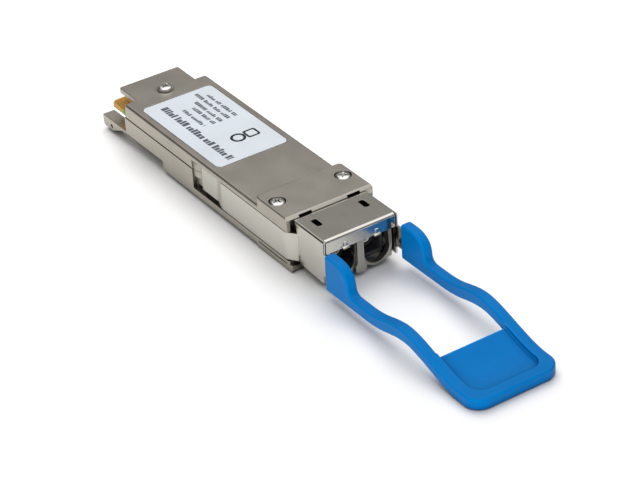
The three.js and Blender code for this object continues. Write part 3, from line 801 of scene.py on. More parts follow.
def tab_plastic():
    """Moulded elastomer: saturated blue, fine texture, soft sheen, painted shade in hollows,
    painted highlights along the edges.
    """
    mat = Surface("tab_blue")
    cloud = mat.noise(scale=0.09)
    grain = mat.noise(scale=5.5, detail=4.0, rough=0.65)
    pores = mat.texture("ShaderNodeTexVoronoi", Scale=4.0)["Distance"]
    color = mat.mix(mat.remap(cloud, within=(0.3, 0.7)), (0.0, 0.104, 0.318),
                    (0.0, 0.116, 0.346))
    color = mat.mix(mat.remap(grain, within=(0.35, 0.75), to=(0.0, 0.10)), color,
                    (0.004, 0.18, 0.50))
    # painted shade in the dish, along its walls and in corners
    color = mat.painted_shade(color, distance=0.0016, within=(0.4, 0.97), amount=0.85,
                     tone=(0.0, 0.028, 0.13))
    # painted highlight along the edges
    edge = mat.edge(radius=0.0004)
    color = mat.mix(mat.math("MULTIPLY", edge, 0.62), color, (0.025, 0.27, 0.62))
    roughness = mat.remap(grain, within=(0.25, 0.75), to=(0.27, 0.38))
    normal = mat.bump(grain, strength=0.22, distance=0.00003)
    normal = mat.bump(pores, strength=0.08, distance=0.00003, under=normal)
    return mat.finish(color=color, metal=0.0, rough=roughness, normal=normal, spec=0.5,
                      tint=(0.15, 0.5, 1.0), ior=1.26)


def label_film():
    mat = Surface("label_film")
    fibre = mat.noise(scale=3.0, detail=5.0, rough=0.7)
    cloud = mat.noise(scale=0.12)
    color = mat.mix(mat.remap(cloud, within=(0.3, 0.7)), srgb(180, 186, 192),
                    srgb(186, 192, 198))
    color = mat.mix(mat.remap(fibre, within=(0.3, 0.7), to=(0.0, 0.08)), color,
                    srgb(166, 172, 182))
    roughness = mat.remap(fibre, within=(0.3, 0.7), to=(0.34, 0.46))
    normal = mat.bump(mat.noise(scale=0.35, detail=2.0), strength=0.10, distance=0.0002)
    normal = mat.bump(fibre, strength=0.06, distance=0.00002, under=normal)
    return mat.finish(color=color, rough=roughness, normal=normal, spec=0.4)


def ink(name, dark, faded):
    mat = Surface(name)
    speck = mat.noise(scale=9.0, detail=4.0, rough=0.7)
    cloud = mat.noise(scale=0.7, rough=0.6)
    color = mat.mix(mat.remap(speck, within=(0.35, 0.75), to=(0.0, 0.35)), dark, faded)
    color = mat.mix(mat.remap(cloud, within=(0.4, 0.7), to=(0.0, 0.5)), color, faded)
    normal = mat.bump(speck, strength=0.05, distance=0.00001)
    return mat.finish(color=color, rough=0.5, normal=normal, spec=0.3)


def contact_gold():
    """Gold with wipe marks along the length."""
    mat = Surface("contact_gold")
    wipe = mat.noise(scale=1.0, detail=4.0, rough=0.7, vector=mat.stretched(7.0, 0.8, 7.0))
    cloud = mat.noise(scale=0.5)
    color = mat.mix(mat.remap(cloud, within=(0.3, 0.7)), (0.90, 0.47, 0.10),
                    (0.98, 0.58, 0.15))
    color = mat.mix(mat.remap(wipe, within=(0.55, 0.75), to=(0.0, 0.35)), color,
                    (0.62, 0.36, 0.10))
    return mat.finish(color=color, metal=1.0,
                      rough=mat.remap(wipe, within=(0.2, 0.8), to=(0.22, 0.38)),
                      normal=mat.bump(wipe, strength=0.08, distance=0.00001))


def solder_mask():
    """Green board with traces, bare laminate between the contacts and a raw cut edge."""
    mat = Surface("board_green")
    position = mat.split(mat.coords)
    wave = mat.stripes(Scale=0.62, Distortion=1.6, Detail=1.0)
    traces = mat.remap(wave, within=(0.62, 0.72))
    weave = mat.noise(scale=2.6, rough=0.6)
    color = mat.mix(mat.remap(weave, within=(0.3, 0.7)), (0.030, 0.125, 0.045),
                    (0.040, 0.165, 0.055))
    color = mat.mix(mat.math("MULTIPLY", traces, 0.6), color, (0.07, 0.26, 0.08))
    # the mask ends between s = 4.6 and 4.3
    bare = mat.remap(position["Y"], within=(ORIGIN_S - 4.6, ORIGIN_S - 4.3))
    color = mat.mix(bare, color, mat.mix(weave, (0.34, 0.17, 0.030), (0.44, 0.23, 0.045)))
    geometry = mat.node("ShaderNodeNewGeometry")
    facing = mat.split(geometry.outputs["Normal"])
    cut_edge = mat.remap(mat.math("ABSOLUTE", facing["Z"]), within=(0.5, 0.8), to=(1.0, 0.0))
    glass = mat.noise(scale=6.0, rough=0.6, vector=mat.stretched(1.0, 1.0, 7.0))
    core = mat.mix(glass, (0.46, 0.25, 0.04), (0.34, 0.20, 0.04))
    # the cut edge turns green between s = 2.9 and 3.9
    greener = mat.remap(position["Y"], within=(ORIGIN_S - 3.9, ORIGIN_S - 2.9), to=(1.0, 0.0))
    core = mat.mix(greener, core, mat.mix(glass, (0.16, 0.30, 0.08), (0.10, 0.24, 0.06)))
    color = mat.mix(cut_edge, color, core)
    roughness = mat.math("ADD", mat.remap(weave, within=(0.3, 0.7), to=(0.28, 0.4)),
                         mat.math("MULTIPLY", cut_edge, 0.3))
    relief = mat.math("ADD", traces, mat.math("MULTIPLY", weave, 0.3))
    return mat.finish(color=color, rough=roughness,
                      normal=mat.bump(relief, strength=0.15, distance=0.00004))


def plastic(name, dark, light, rough, scale=4.0, bump=0.15):
    mat = Surface(name)
    grain = mat.noise(scale=scale, detail=4.0, rough=0.65)
    cloud = mat.noise(scale=scale * 0.08)
    color = mat.mix(mat.remap(cloud, within=(0.3, 0.7)), dark, light)
    color = mat.mix(mat.remap(grain, within=(0.4, 0.8), to=(0.0, 0.15)), color,
                    shade(light, 1.6, lift=0.02))
    return mat.finish(color=color, rough=mat.remap(grain, within=(0.25, 0.75), to=rough),
                      normal=mat.bump(grain, strength=bump, distance=0.00003), spec=0.45)


def amber_film():
    """Flexible circuit film with copper lines."""
    mat = Surface("amber_film")
    lines = mat.remap(mat.stripes(Scale=1.1), within=(0.45, 0.6))
    color = mat.mix(lines, (0.42, 0.16, 0.03), (0.74, 0.36, 0.10))
    return mat.finish(color=color,
                      rough=mat.remap(mat.noise(scale=2.0), within=(0.3, 0.7), to=(0.25, 0.4)),
                      normal=mat.bump(lines, strength=0.2, distance=0.00002))


def bright_metal(name, tone, rough):
    mat = Surface(name)
    fine = mat.noise(scale=6.0, detail=4.0, rough=0.7)
    cloud = mat.noise(scale=0.6)
    color = mat.mix(mat.remap(cloud, within=(0.3, 0.7)), shade(tone, 0.93), tone)
    # painted shade in recesses, threads and corners
    color = mat.painted_shade(color, distance=0.0005, within=(0.2, 0.9), amount=0.75,
                     tone=(0.03, 0.03, 0.03))
    return mat.finish(color=color, metal=1.0,
                      rough=mat.remap(fine, within=(0.25, 0.75), to=(rough - 0.04, rough + 0.06)),
                      normal=mat.bump(fine, strength=0.12, distance=0.00001))


SHELL_CAST = cast_metal("cast_bottom", tone=(0.58, 0.548, 0.488), rough=0.34, wide_painted_shade=0.55)
COVER_CAST = cast_metal("cast_cover", tone=(0.565, 0.53, 0.472), rough=0.36, wide_painted_shade=0.12)
SHEET_STEEL = sheet_metal()
TAB_BLUE = tab_plastic()
LABEL_FILM = label_film()
INK_GREY = ink("ink_grey", dark=srgb(56, 59, 66), faded=srgb(98, 102, 112))
INK_DARK = ink("ink_dark", dark=srgb(18, 19, 22), faded=srgb(38, 40, 45))
GOLD = contact_gold()
BOARD_GREEN = solder_mask()
SCREW_NICKEL = bright_metal("screw_nickel", tone=(0.86, 0.85, 0.82), rough=0.16)
PORT_BLACK = plastic("port_black", dark=(0.012, 0.012, 0.013), light=(0.020, 0.020, 0.022),
                     rough=(0.34, 0.5))
CERAMIC = plastic("ceramic", dark=(0.80, 0.79, 0.74), light=(0.88, 0.87, 0.83),
                  rough=(0.12, 0.22), scale=3.0, bump=0.05)
CHIP_BLACK = plastic("chip_black", dark=(0.018, 0.018, 0.020), light=(0.030, 0.030, 0.032),
                     rough=(0.45, 0.6), scale=7.0)
FERRITE = plastic("ferrite", dark=(0.055, 0.052, 0.050), light=(0.08, 0.077, 0.072),
                  rough=(0.5, 0.7), scale=6.0, bump=0.3)
THERMAL_PAD = plastic("thermal_pad", dark=(0.16, 0.26, 0.34), light=(0.20, 0.31, 0.40),
                      rough=(0.7, 0.85), scale=3.0, bump=0.3)
GASKET = plastic("gasket", dark=(0.045, 0.047, 0.050), light=(0.07, 0.072, 0.078),
                 rough=(0.7, 0.85), scale=6.0, bump=0.35)
AMBER_FILM = amber_film()
CLAMP_STEEL = bright_metal("clamp_steel", tone=(0.44, 0.45, 0.46), rough=0.34)
SPRING_WIRE = bright_metal("spring_wire", tone=(0.74, 0.75, 0.76), rough=0.22)


# ------------------------------------------------------------------ shared by both castings
def latch_recess(side):
    """Pocket in the side wall for the slider's arm, open to the front."""
    return union([
        box((side * POCKET_X, side * (HALF_W + 1)), (POCKET_S, S_BODY + 2), POCKET_Z),
        box((side * (CORE_HW + 0.05), side * (HALF_W + 1.5)), (61.0, S_BODY + 2.5), POCKET_Z),
    ])


def recess_ramp(side, z):
    """Sloped block at the rear end of a side pocket."""
    inner = POCKET_X - 0.1
    outline = [(inner, 30.3), (HALF_W - 0.28, 30.3), (HALF_W - 0.28, 31.6),
               (POCKET_X + 0.12, 32.6), (inner, 32.6)]
    return prism("z", fillet(mirror(outline, side), 0.12, 3), z)


def port_bores():
    return both(lambda side: rod("s", (side * PORT_X, PORT_Z), PORT_BORE_R, (60.5, 63), 40))


def front_screw_holes(radius, z, sides=24):
    return both(lambda side: rod("z", (side * SCREW_FRONT_X, SCREW_FRONT_S), radius, z, sides))


def rear_screw_hole(radius, z, sides=24):
    return rod("z", (0, SCREW_REAR_S), radius, z, sides)


# ------------------------------------------------------------------ bottom casting
SHELL_SIDE = [      # (s, z), round from the rear top
    (S_SHOULDER - 0.3, Z_SPLIT), (S_SHOULDER - 0.3, Z_REAR), (S_STEP, Z_REAR), (S_STEP, 0.0),
    (S_HEAD - 0.2, 0.0), (S_HEAD - 0.2, Z_FOOT), (63.0, Z_FOOT), (63.0, 0.75),
    (S_BODY, 0.75), (S_BODY, Z_SPLIT),
]
LEG_SIDE = [        # (s, z)
    (LEG_S, 2.4), (LEG_S, 0.0), (0.4, 0.0), (4.4, 1.75), (S_SHOULDER, Z_REAR),
    (S_SHOULDER, 2.4),
]
FRAME_TOP = Z_BROW - 0.04
FRAME_FAR, FRAME_NEAR = 6.72, 6.1      # outer and inner faces of the frame's cheeks
BAR_HW = 0.86                          # half width between the openings
POST_RIGHT = [      # (x, z) of the post's right side, going up
    (1.12, CORE_BOT), (1.12, 1.5), (0.70, 2.3), (0.70, FRAME_TOP - 0.02),
]


def opening_outline(grow):
    """One round-bottomed opening of the front frame, right side, enlarged by grow."""
    radius = LOBE_IN + grow
    right = FRAME_NEAR + grow - LOBE_X
    start = math.atan2(math.sqrt(radius ** 2 - right ** 2), right)
    end = math.atan2(math.sqrt(radius ** 2 - (LOBE_X - 1.06 + grow) ** 2),
                     1.06 - grow - LOBE_X)
    return (arc(LOBE_X, LOBE_Z, radius, start, end - 2 * math.pi, 44)
            + [(BAR_HW - grow, LOBE_Z + 0.9)])


def frame_outline():
    """(x, z) of the whole front frame, round both openings."""
    reach = FRAME_FAR - LOBE_X
    end = math.atan2(math.sqrt(LOBE_R ** 2 - reach ** 2), reach)
    lobe = arc(LOBE_X, LOBE_Z, LOBE_R, math.radians(-152.0), end, 40)
    right = (lobe + [(FRAME_FAR, FRAME_TOP), (FRAME_NEAR, FRAME_TOP)] + opening_outline(0.0)
             + [(BAR_HW, FRAME_TOP), (0.0, FRAME_TOP)])
    n, end = len(lobe), len(right)
    right = fillet(right, {n - 1: 0.35, n: 0.16, n + 1: 0.14, n + 2: 0.5,
                           end - 4: 0.4, end - 3: 0.5, end - 2: 0.14}, 4)
    return [(0.0, 1.75)] + right + mirror(right, -1)[::-1]


def opening_bore(side):
    outline = opening_outline(0.02) + [(BAR_HW - 0.02, Z_BROW + 0.5),
                                       (FRAME_NEAR + 0.02, Z_BROW + 0.5)]
    return prism("s", mirror(outline, side), (69.0, S_NOSE + 1))


def front_cheek(side):
    outline = fillet([(FRAME_NEAR + 0.01, LOBE_Z + 0.4), (FRAME_FAR + 0.1, LOBE_Z + 0.1),
                      (FRAME_FAR - 0.005, FRAME_TOP - 0.02),
                      (FRAME_NEAR + 0.01, FRAME_TOP - 0.02)],
                     {0: 0.2, 1: 0.2, 2: 0.16, 3: 0.16}, 4)
    return prism("s", mirror(outline, side), (69.4, S_NOSE), round_high=0.12)


def front_frame():
    lobes = prism("s", frame_outline(), (69.2, S_NOSE - 0.42), round_high=0.11)
    cheeks = both(front_cheek)
    post_outline = fillet(mirror(POST_RIGHT, -1)[::-1] + POST_RIGHT,
                          {0: 0.2, 1: 0.8, 2: 0.5, 3: 0.85, 4: 0.85, 5: 0.5, 6: 0.8, 7: 0.2}, 6)
    post = prism("s", post_outline, (69.3, S_NOSE + 0.16), round_high=0.2, seg=4)
    return union([lobes, post, *cheeks])


def shell_leg(side):
    outline = fillet(LEG_SIDE, {0: 0.3, 1: 0.9, 2: 2.0, 3: 0.6}, 6)
    leg = prism("x", outline, (side * LEG_IN, side * HALF_W), 0.14, 0.14)
    dimple_span = (side * (HALF_W - 0.4), side * (HALF_W + 0.5))
    return cut(leg, [rod("x", (0.2, 0.95), 0.42, dimple_span, 24)])


def underside_marks():
    """Shallow round witness marks and a rounded field, 0.05 to 0.06 deep."""
    marks = [rod("z", (x, s), 1.1, (-0.02, 0.06), 32) for x in (-6.2, 6.2)
             for s in (23.5, 47.5)]
    marks += [rod("z", (x, 58.0), 1.0, (Z_FOOT - 0.02, Z_FOOT + 0.06), 32)
              for x in (-6.0, 6.0)]
    marks.append(prism("z", rounded_rect((-6.8, 6.8), (27.0, 44.0), 0.8), (-0.02, 0.05)))
    return marks


def build_shell():
    above = Z_SPLIT + 1
    outline = fillet(SHELL_SIDE, {2: 0.3, 3: 0.55, 4: 0.3, 5: 0.45, 6: 1.3}, 6)
    outer = prism("x", outline, (-HALF_W, HALF_W), 0.22, 0.22)
    core = union([
        middle_box(CORE_HW, (S_BODY + 0.02, 70.15), (CORE_BOT, CORE_TOP), edge=0.2),
        middle_box(CORE_HW, (S_BODY - 0.5, S_BODY + 1.5), (CORE_BOT, Z_SPLIT)),
    ])
    core = cut(core, both(opening_bore))
    front = front_frame()
    cavity = union([
        middle_box(WIDE_HW, (S_SHOULDER - 1.5, WIDE_END), (2.45, above)),
        middle_box(WIDE_HW, (S_STEP + 1.4, WIDE_END), (0.95, above)),
        middle_box(NARROW_HW, NARROW_SPAN, (0.95, above)),
        middle_box(6.3, (52.8, 61.2), (0.4, above)),
    ])
    shell = union([outer, shell_leg(-1), shell_leg(1), core, front])
    shell = cut(shell, [
        cavity,
        middle_box(6.17, (62.6, 69.6), (1.15, 7.75)),      # room for the receptacle
        *port_bores(),
        *box_pair((SLOT_X - 0.72, SLOT_X + 0.72), (63.7, 67.2), (7.5, CORE_TOP + 1)),
        *both(latch_recess),
        # spring channels
        *box_pair((SPRING_X - SPRING_ROOM, POCKET_X + 0.2),
                  (SPRING_S0 - SPRING_ROOM, SPRING_S1),
                  (SPRING_Z - SPRING_ROOM, SPRING_Z + SPRING_ROOM)),
    ])
    shell = union([shell, rod("z", (0, SCREW_REAR_S), 1.55, (2.3, 4.88), 32)])
    shell = cut(shell, [
        rear_screw_hole(SHAFT_R + 0.05, (2.9, 8)),
        *front_screw_holes(SHAFT_R + 0.05, (3.1, 8)),
        *box_pair((7.3, HALF_W + 1), (POCKET_S + 0.25, 39.2), (1.5, 2.3)),
        # grooves low on the sides of the head
        *box_pair((HALF_W - 0.22, HALF_W + 1), (S_HEAD + 0.35, 61.4), (0.62, 0.88)),
    ])
    shell = union([
        shell,
        # ledges along the cavity walls
        *box_pair((7.3, 8.31), (8.2, 28.9), (4.1, 4.88)),
        *box_pair((5.9, 6.61), (30.0, 50.2), (4.1, 4.88)),
        *both(lambda side: recess_ramp(side, (4.1, 5.47))),
    ])
    shell = cut(shell, underside_marks())
    # the lower part of the front frame has its rounding already
    soften(shell, 0.07, where=lambda edge: not all(
        v.co.y < -68.95 and v.co.z < 7.4 for v in edge.verts))
    place(shell, "shell_casting", SHELL_CAST, "bottom_shell")


# ------------------------------------------------------------------ top casting
def head_chamfer():
    front, low, above = S_BODY + 1, Z_HEAD - 0.51, Z_HEAD + 1
    outline = [(S_BODY - 0.5, Z_HEAD), (S_BODY + 0.01, low), (front, low), (front, above),
               (S_BODY - 0.5, above)]
    return prism("x", outline, (-HALF_W - 1, HALF_W + 1))


def build_cover():
    below, ceiling = Z_SPLIT - 1, Z_TOP - 1.1
    width = (-HALF_W, HALF_W)
    main = prism("z", rounded_rect(width, (S_SHOULDER, S_HEAD + 2.2), [0.68, 0.68, 0, 0], 5),
                 (Z_SPLIT, Z_TOP), round_high=0.58, seg=6)
    head = prism("z", rounded_rect(width, (S_HEAD, S_BODY), [0.95, 0.95, 0.0, 0.0]),
                 (Z_SPLIT, Z_HEAD), round_high=0.36, seg=4)
    # the head's rear end is kept only above the main top face
    head = cut(head, [middle_box(HALF_W + 1, (S_HEAD - 1, S_HEAD + 1.4),
                                 (below, Z_TOP - 0.35))])
    under = middle_box(HALF_W, (S_HEAD - 0.6, S_BODY), (Z_SPLIT, 7.7))
    tongue = prism("z", rounded_rect((-TONGUE_HW, TONGUE_HW), (0, S_SHOULDER + 1),
                                     [0.45, 0.45, 0, 0], 5),
                   (Z_TOP - TONGUE_T, Z_TOP), 0.12, 0.16)
    rib = middle_box(1.9, (4.3, S_SHOULDER + 2.4), (5.92, Z_TOP - 0.2))
    cavity = union([
        middle_box(WIDE_HW, (S_SHOULDER + 1.2, WIDE_END), (below, ceiling)),
        middle_box(NARROW_HW, NARROW_SPAN, (below, ceiling)),
        middle_box(5.3, (53.0, 61.0), (below, 8.7)),
        middle_box(WIDE_HW, (S_SHOULDER - 1, S_SHOULDER + 1.5), (below, 5.92)),
    ])
    cover = cut(union([main, head, under]), [cavity])
    cover = union([cover, tongue, rib])
    gap = 0.14      # round the label
    label_well = rounded_rect((-label_hi.x - gap, label_hi.x + gap),
                              (-label_hi.y - gap, -label_lo.y + gap), 1.24, 8)
    corner = NOSE_HW - 0.35
    cover = cut(cover, [
        prism("z", label_well, (Z_TOP - 0.15, Z_TOP + 1)),
        *port_bores(),
        *front_screw_holes(SHAFT_R + 0.12, (5, 11)),
        *front_screw_holes(SCREW_R + 0.08, (Z_HEAD - 0.82, 11), sides=56),
        rear_screw_hole(SHAFT_R + 0.12, (5, 11)),
        *both(latch_recess),
        # grooves for the slider's guide strips
        *box_pair((GUIDE_X[0] - 0.12, GUIDE_X[1] + 0.12), (GUIDE_S - 0.3, S_BODY + 1),
                  (Z_SLEEVE - SHEET_T - 0.1, Z_SLEEVE + 0.4)),
        head_chamfer(),
        # unequal notches at the front corners, left then right
        box((-corner, 0.72 - HALF_W), (S_BODY - 1.3, S_BODY + 1), (7.0, Z_HEAD - 0.55)),
        box((corner, HALF_W - 0.3), (S_BODY - 0.3, S_BODY + 1), (7.0, Z_HEAD - 1.7)),
        # shadow line along the split
        *box_pair((HALF_W - 0.24, HALF_W + 1), (S_SHOULDER - 1, S_BODY + 1),
                  (Z_SPLIT - 0.5, Z_SPLIT + 0.24)),
    ])
    cover = union([cover, *both(lambda side: recess_ramp(side, (5.53, 6.95)))])
    cover = cut(cover, [middle_box(20, (-5, 80), (0, Z_SPLIT + 0.03))])
    soften(cover, 0.07)
    place(cover, "cover_casting", COVER_CAST, "top_cover")


# ------------------------------------------------------------------ latch slider
SLEEVE_END = [      # (x, z) of the inverted U, outside then inside
    (-NOSE_HW, 0.9), (-NOSE_HW, Z_SLEEVE), (NOSE_HW, Z_SLEEVE), (NOSE_HW, 0.9),
    (NOSE_HW - SHEET_T, 0.9), (NOSE_HW - SHEET_T, Z_SLEEVE - SHEET_T),
    (-NOSE_HW + SHEET_T, Z_SLEEVE - SHEET_T), (-NOSE_HW + SHEET_T, 0.9),
]
SLEEVE_TRIM = [     # (s, z) cut off the sleeve's lower edge
    (61.0, 0.0), (63.15, 0.0), (63.15, 1.65), (66.0, 1.3), (S_NOSE, 0.95), (S_NOSE, 2.4),
    (S_NOSE + 2, 2.4), (S_NOSE + 2, 0.0), (74, -1), (61.0, -1),
]
BROW_SIDE = [       # (s, z) of the fold down over the nose
    (69.6, Z_SLEEVE), (BROW_FRONT, Z_SLEEVE), (BROW_FRONT, Z_BROW),
    (BROW_FRONT - SHEET_T, Z_BROW), (BROW_FRONT - SHEET_T, Z_SLEEVE - SHEET_T),
    (69.6, Z_SLEEVE - SHEET_T),
]
WING_SIDE = [       # (s, z) of the wing that enters the pull tab
    (S_NOSE - 1.0, 2.4), (S_NOSE + 0.6, 2.7), (78.2, 2.7), (78.2, 7.0),
    (S_NOSE + 0.6, 7.0), (S_NOSE - 1.0, 7.4),
]
ARM_PLAN = [        # (x, s) of the right arm, outer face forward then inner face back
    (TIP_OUT - 0.18, TIP_S), (TIP_OUT, TIP_S + 0.35), (TIP_OUT, TIP_END),
    (ARM_OUT, TIP_END + 1.9), (ARM_OUT, 61.4), (NOSE_HW, 63.3), (NOSE_HW, 64.0),
    (NOSE_HW - SHEET_T, 64.0), (NOSE_HW - SHEET_T, 63.1), (ARM_OUT - SHEET_T, 61.2),
    (ARM_OUT - SHEET_T, TIP_END + 2.0), (TIP_OUT - SHEET_T, TIP_END + 0.1),
    (TIP_OUT - SHEET_T, TIP_S),
]
ARM_RADII = {2: 1.2, 3: 1.2, 4: 0.7, 5: 0.5, 8: 0.3, 9: 0.3, 10: 0.8, 11: 0.8}
KEY_SIDE = [        # (s, z) of the formed key in the brow
    (BROW_FRONT - 0.2, 8.15), (BROW_FRONT + 0.16, 7.95),
    (BROW_FRONT + 0.16, Z_BROW + 0.2), (BROW_FRONT - 0.2, Z_BROW + 0.1),
]
LIP_SIDE = [        # (s, z) of the flared lip below the key
    (BROW_FRONT - 0.25, Z_BROW + 0.42), (BROW_FRONT + 0.22, Z_BROW + 0.3),
    (BROW_FRONT + 0.52, Z_BROW + 0.02), (BROW_FRONT + 0.42, Z_BROW - 0.1),
    (BROW_FRONT + 0.1, Z_BROW - 0.02), (BROW_FRONT - 0.25, Z_BROW + 0.06),
]


def around(centre, half):
    return centre - half, centre + half


def slider_side(side):
    """Wing, guide strip, arm, spring stop, key and lip of one side."""
    wing = prism("x", fillet(WING_SIDE, {2: 0.5, 3: 0.5}, 4),
                 (side * (NOSE_HW - SHEET_T), side * NOSE_HW))
    guide = box((side * GUIDE_X[0], side * GUIDE_X[1]), (GUIDE_S, 63),
                (Z_SLEEVE - SHEET_T, Z_SLEEVE))
    arm = prism("z", fillet(mirror(ARM_PLAN, side), ARM_RADII), (ARM_Z0, ARM_Z1))
    arm = cut(arm, [box((side * 8, side * 10), (30, TIP_END + 0.4), (0, TIP_Z0))])
    stop = box((side * (SPRING_X - 0.6), side * (ARM_OUT - 0.2)),
               (SPRING_S0 - 0.45, SPRING_S0 - 0.03), around(SPRING_Z, 0.6))
    key = prism("x", fillet(KEY_SIDE, {1: 0.08}, 3), around(side * KEY_X, 0.4),
                0.06, 0.06, seg=2)
    lip = prism("x", fillet(LIP_SIDE, {1: 0.12, 4: 0.1}, 3), around(side * KEY_X, 0.72),
                0.05, 0.05, seg=2)
    return [wing, guide, arm, stop, key, lip]


def build_slider():
    bend_out, bend_in = 0.48, 0.1
    radii = {1: bend_out, 2: bend_out, 5: bend_in, 6: bend_in}
    sleeve = prism("s", fillet(SLEEVE_END, radii, 6), (S_BODY + 0.06, BROW_FRONT))
    sleeve = cut(sleeve, [
        prism("x", SLEEVE_TRIM, (-9, 9)),
        middle_box(9, (60, 63.15), (0, 9.0)),
        middle_box(NOSE_HW - 0.52, (S_NOSE - 0.35, S_NOSE + 1), (8.0, 10.0)),
    ])
    brow = prism("x", fillet(BROW_SIDE, {1: 0.62, 4: 0.22}, 6), around(0.0, NOSE_HW - 0.58))
    slider = union([sleeve, brow, *slider_side(-1), *slider_side(1)])
    slots = both(lambda side: prism(
        "z", rounded_rect(around(side * SLOT_X, 0.58), (64.1, 66.6), 0.45, 8),
        around(Z_SLEEVE, 1)))
    slider = cut(slider, slots)
    soften(slider, 0.045, angle=30)
    place(slider, "slider_sheet", SHEET_STEEL, "latch_slider", body="latch")


# ------------------------------------------------------------------ pull tab
TAB_BOTTOM = [      # (s, z), rear to front
    (TAB_S0, 1.3), (80.0, 1.3), (84.0, 1.3), (86.0, 1.32), (88.0, 1.48), (90.0, 1.78),
    (92.0, 2.25), (94.0, 2.66), (96.0, 2.86), (97.6, 2.78), (99.0, 2.5), (101.0, 1.98),
    (103.0, 1.36), (105.0, 0.72), (107.0, 0.12), (109.0, -0.36), (110.5, -0.56),
    (112.0, -0.62), (TAB_S1, -0.62),
]
TAB_BUTT_R = 0.62      # rounds the top rear edge
TAB_TOP = [         # (s, z), front to rear
    (111.6, 1.62), (110.0, 1.72), (108.4, 1.98), (107.0, 2.3), (105.0, 2.88), (103.0, 3.5),
    (101.0, 4.14), (99.0, 4.7), (97.5, 5.0), (96.0, 5.16), (94.5, 5.12), (92.8, 4.86),
    (91.0, 4.44), (89.0, 3.92), (87.0, 3.6), (85.0, 3.5), (81.9, 3.5), (81.15, 3.58),
    (80.55, 3.86), (80.2, 4.35), (80.08, 5.1), (79.85, 6.1), (79.3, 7.05), (78.45, 7.75),
    (77.4, 8.2), (76.2, 8.4), (TAB_S0 + TAB_BUTT_R, 8.42),
]
DISH_FLOOR = TAB_TOP[6::-1] + [(114.0, 1.6)]      # follows the tab's front top, rear to front
DISH_DEPTH = 0.82


def round_dish_rim(tab):
    bm = opened(tab.data)
    bmesh.ops.remove_doubles(bm, verts=bm.verts[:], dist=1e-3)
    bmesh.ops.dissolve_limit(bm, angle_limit=math.radians(0.3), use_dissolve_boundaries=False,
                             verts=bm.verts[:], edges=bm.edges[:])
    rim = [e for e in bm.edges
           if len(e.link_faces) == 2 and e.calc_face_angle(0.0) > math.radians(45)
           and all(abs(v.co.x) < 7.0 and -113.6 < v.co.y < -102.95 for v in e.verts)]
    if rim:
        round_edges(bm, rim, 0.16)
    face_out(bm)
    bm.to_mesh(tab.data)
    bm.free()


def build_tab():
    butt = arc(TAB_S0 + TAB_BUTT_R, 7.8, TAB_BUTT_R, math.pi / 2, math.pi, 6)[1:]
    side_view = spline(TAB_BOTTOM, 0.5) + [(TAB_S1, 1.6)] + spline(TAB_TOP, 0.4) + butt
    strap = prism("x", side_view, (-TAB_OUT, TAB_OUT))
    plan = prism("z", rounded_rect((-TAB_OUT, TAB_OUT), (TAB_S0 - 1, TAB_S1),
                                   [0, 0, 3.2, 3.2], 14), (-2, 12))
    opening = prism("z", rounded_rect((-TAB_IN, TAB_IN), (TAB_S0 - 2, 102.9),
                                      [0, 0, 0.6, 0.6], 8), (-3, 13))
    tab = boolean(strap, "INTERSECT", plan)
    tab = cut(tab, [opening])
    soften(tab, 0.42, seg=4, angle=40)
    # shallow finger dish
    floor_line = [(s, z - DISH_DEPTH) for s, z in spline(DISH_FLOOR, 0.5)]
    dish = boolean(
        prism("x", floor_line + [(114.0, 8.0), (101.0, 8.0)], (-7, 7)), "INTERSECT",
        prism("z", rounded_rect((-6.93, 6.93), (101.5, 113.5), [0, 0, 2.6, 2.6], 12), (-3, 13)))
    tab = cut(tab, [dish])
    round_dish_rim(tab)
    # slits for the slider's wings
    tab = cut(tab, box_pair((NOSE_HW - SHEET_T - 0.04, NOSE_HW + 0.04),
                            (TAB_S0 - 1, 78.26), (2.64, 7.06)))
    place(tab, "tab_moulding", TAB_BLUE, "pull_tab", body="latch",
          smooth=35)


# ------------------------------------------------------------------ screws
HEAD_CROWN = [      # inset from the head's radius, share of the head's height
    (0.0, 0.42), (0.05, 0.58), (0.16, 0.76), (0.36, 0.89), (0.68, 0.97), (1.05, 1.0),
]
CROSS_LENGTH, CROSS_WIDTH = 0.92, 0.30
CROSS_LEVELS = [    # half length / length, half width / width, z above the head's top
    (0.55, 0.36, -0.52), (1.0, 0.5, 0.0), (1.35, 0.62, 0.4),
]


def cross_arm(top, angle):
    """Tapered cutter for one bar of the cross recess."""
    bm = bmesh.new()
    rings = []
    for length_share, width_share, z in CROSS_LEVELS:
        half_l, half_w = CROSS_LENGTH * length_share, CROSS_WIDTH * width_share
        rings.append([bm.verts.new((a * half_l, b * half_w, top + z))
                      for a, b in ((-1, -1), (1, -1), (1, 1), (-1, 1))])
    bm.faces.new(rings[0][::-1])
    bm.faces.new(rings[2])
    band(bm, rings[0], rings[1])
    band(bm, rings[1], rings[2])
    face_out(bm)
    bmesh.ops.rotate(bm, cent=(0, 0, 0), matrix=Matrix.Rotation(angle, 3, "Z"),
                     verts=bm.verts[:])
    return mesh_object(bm)


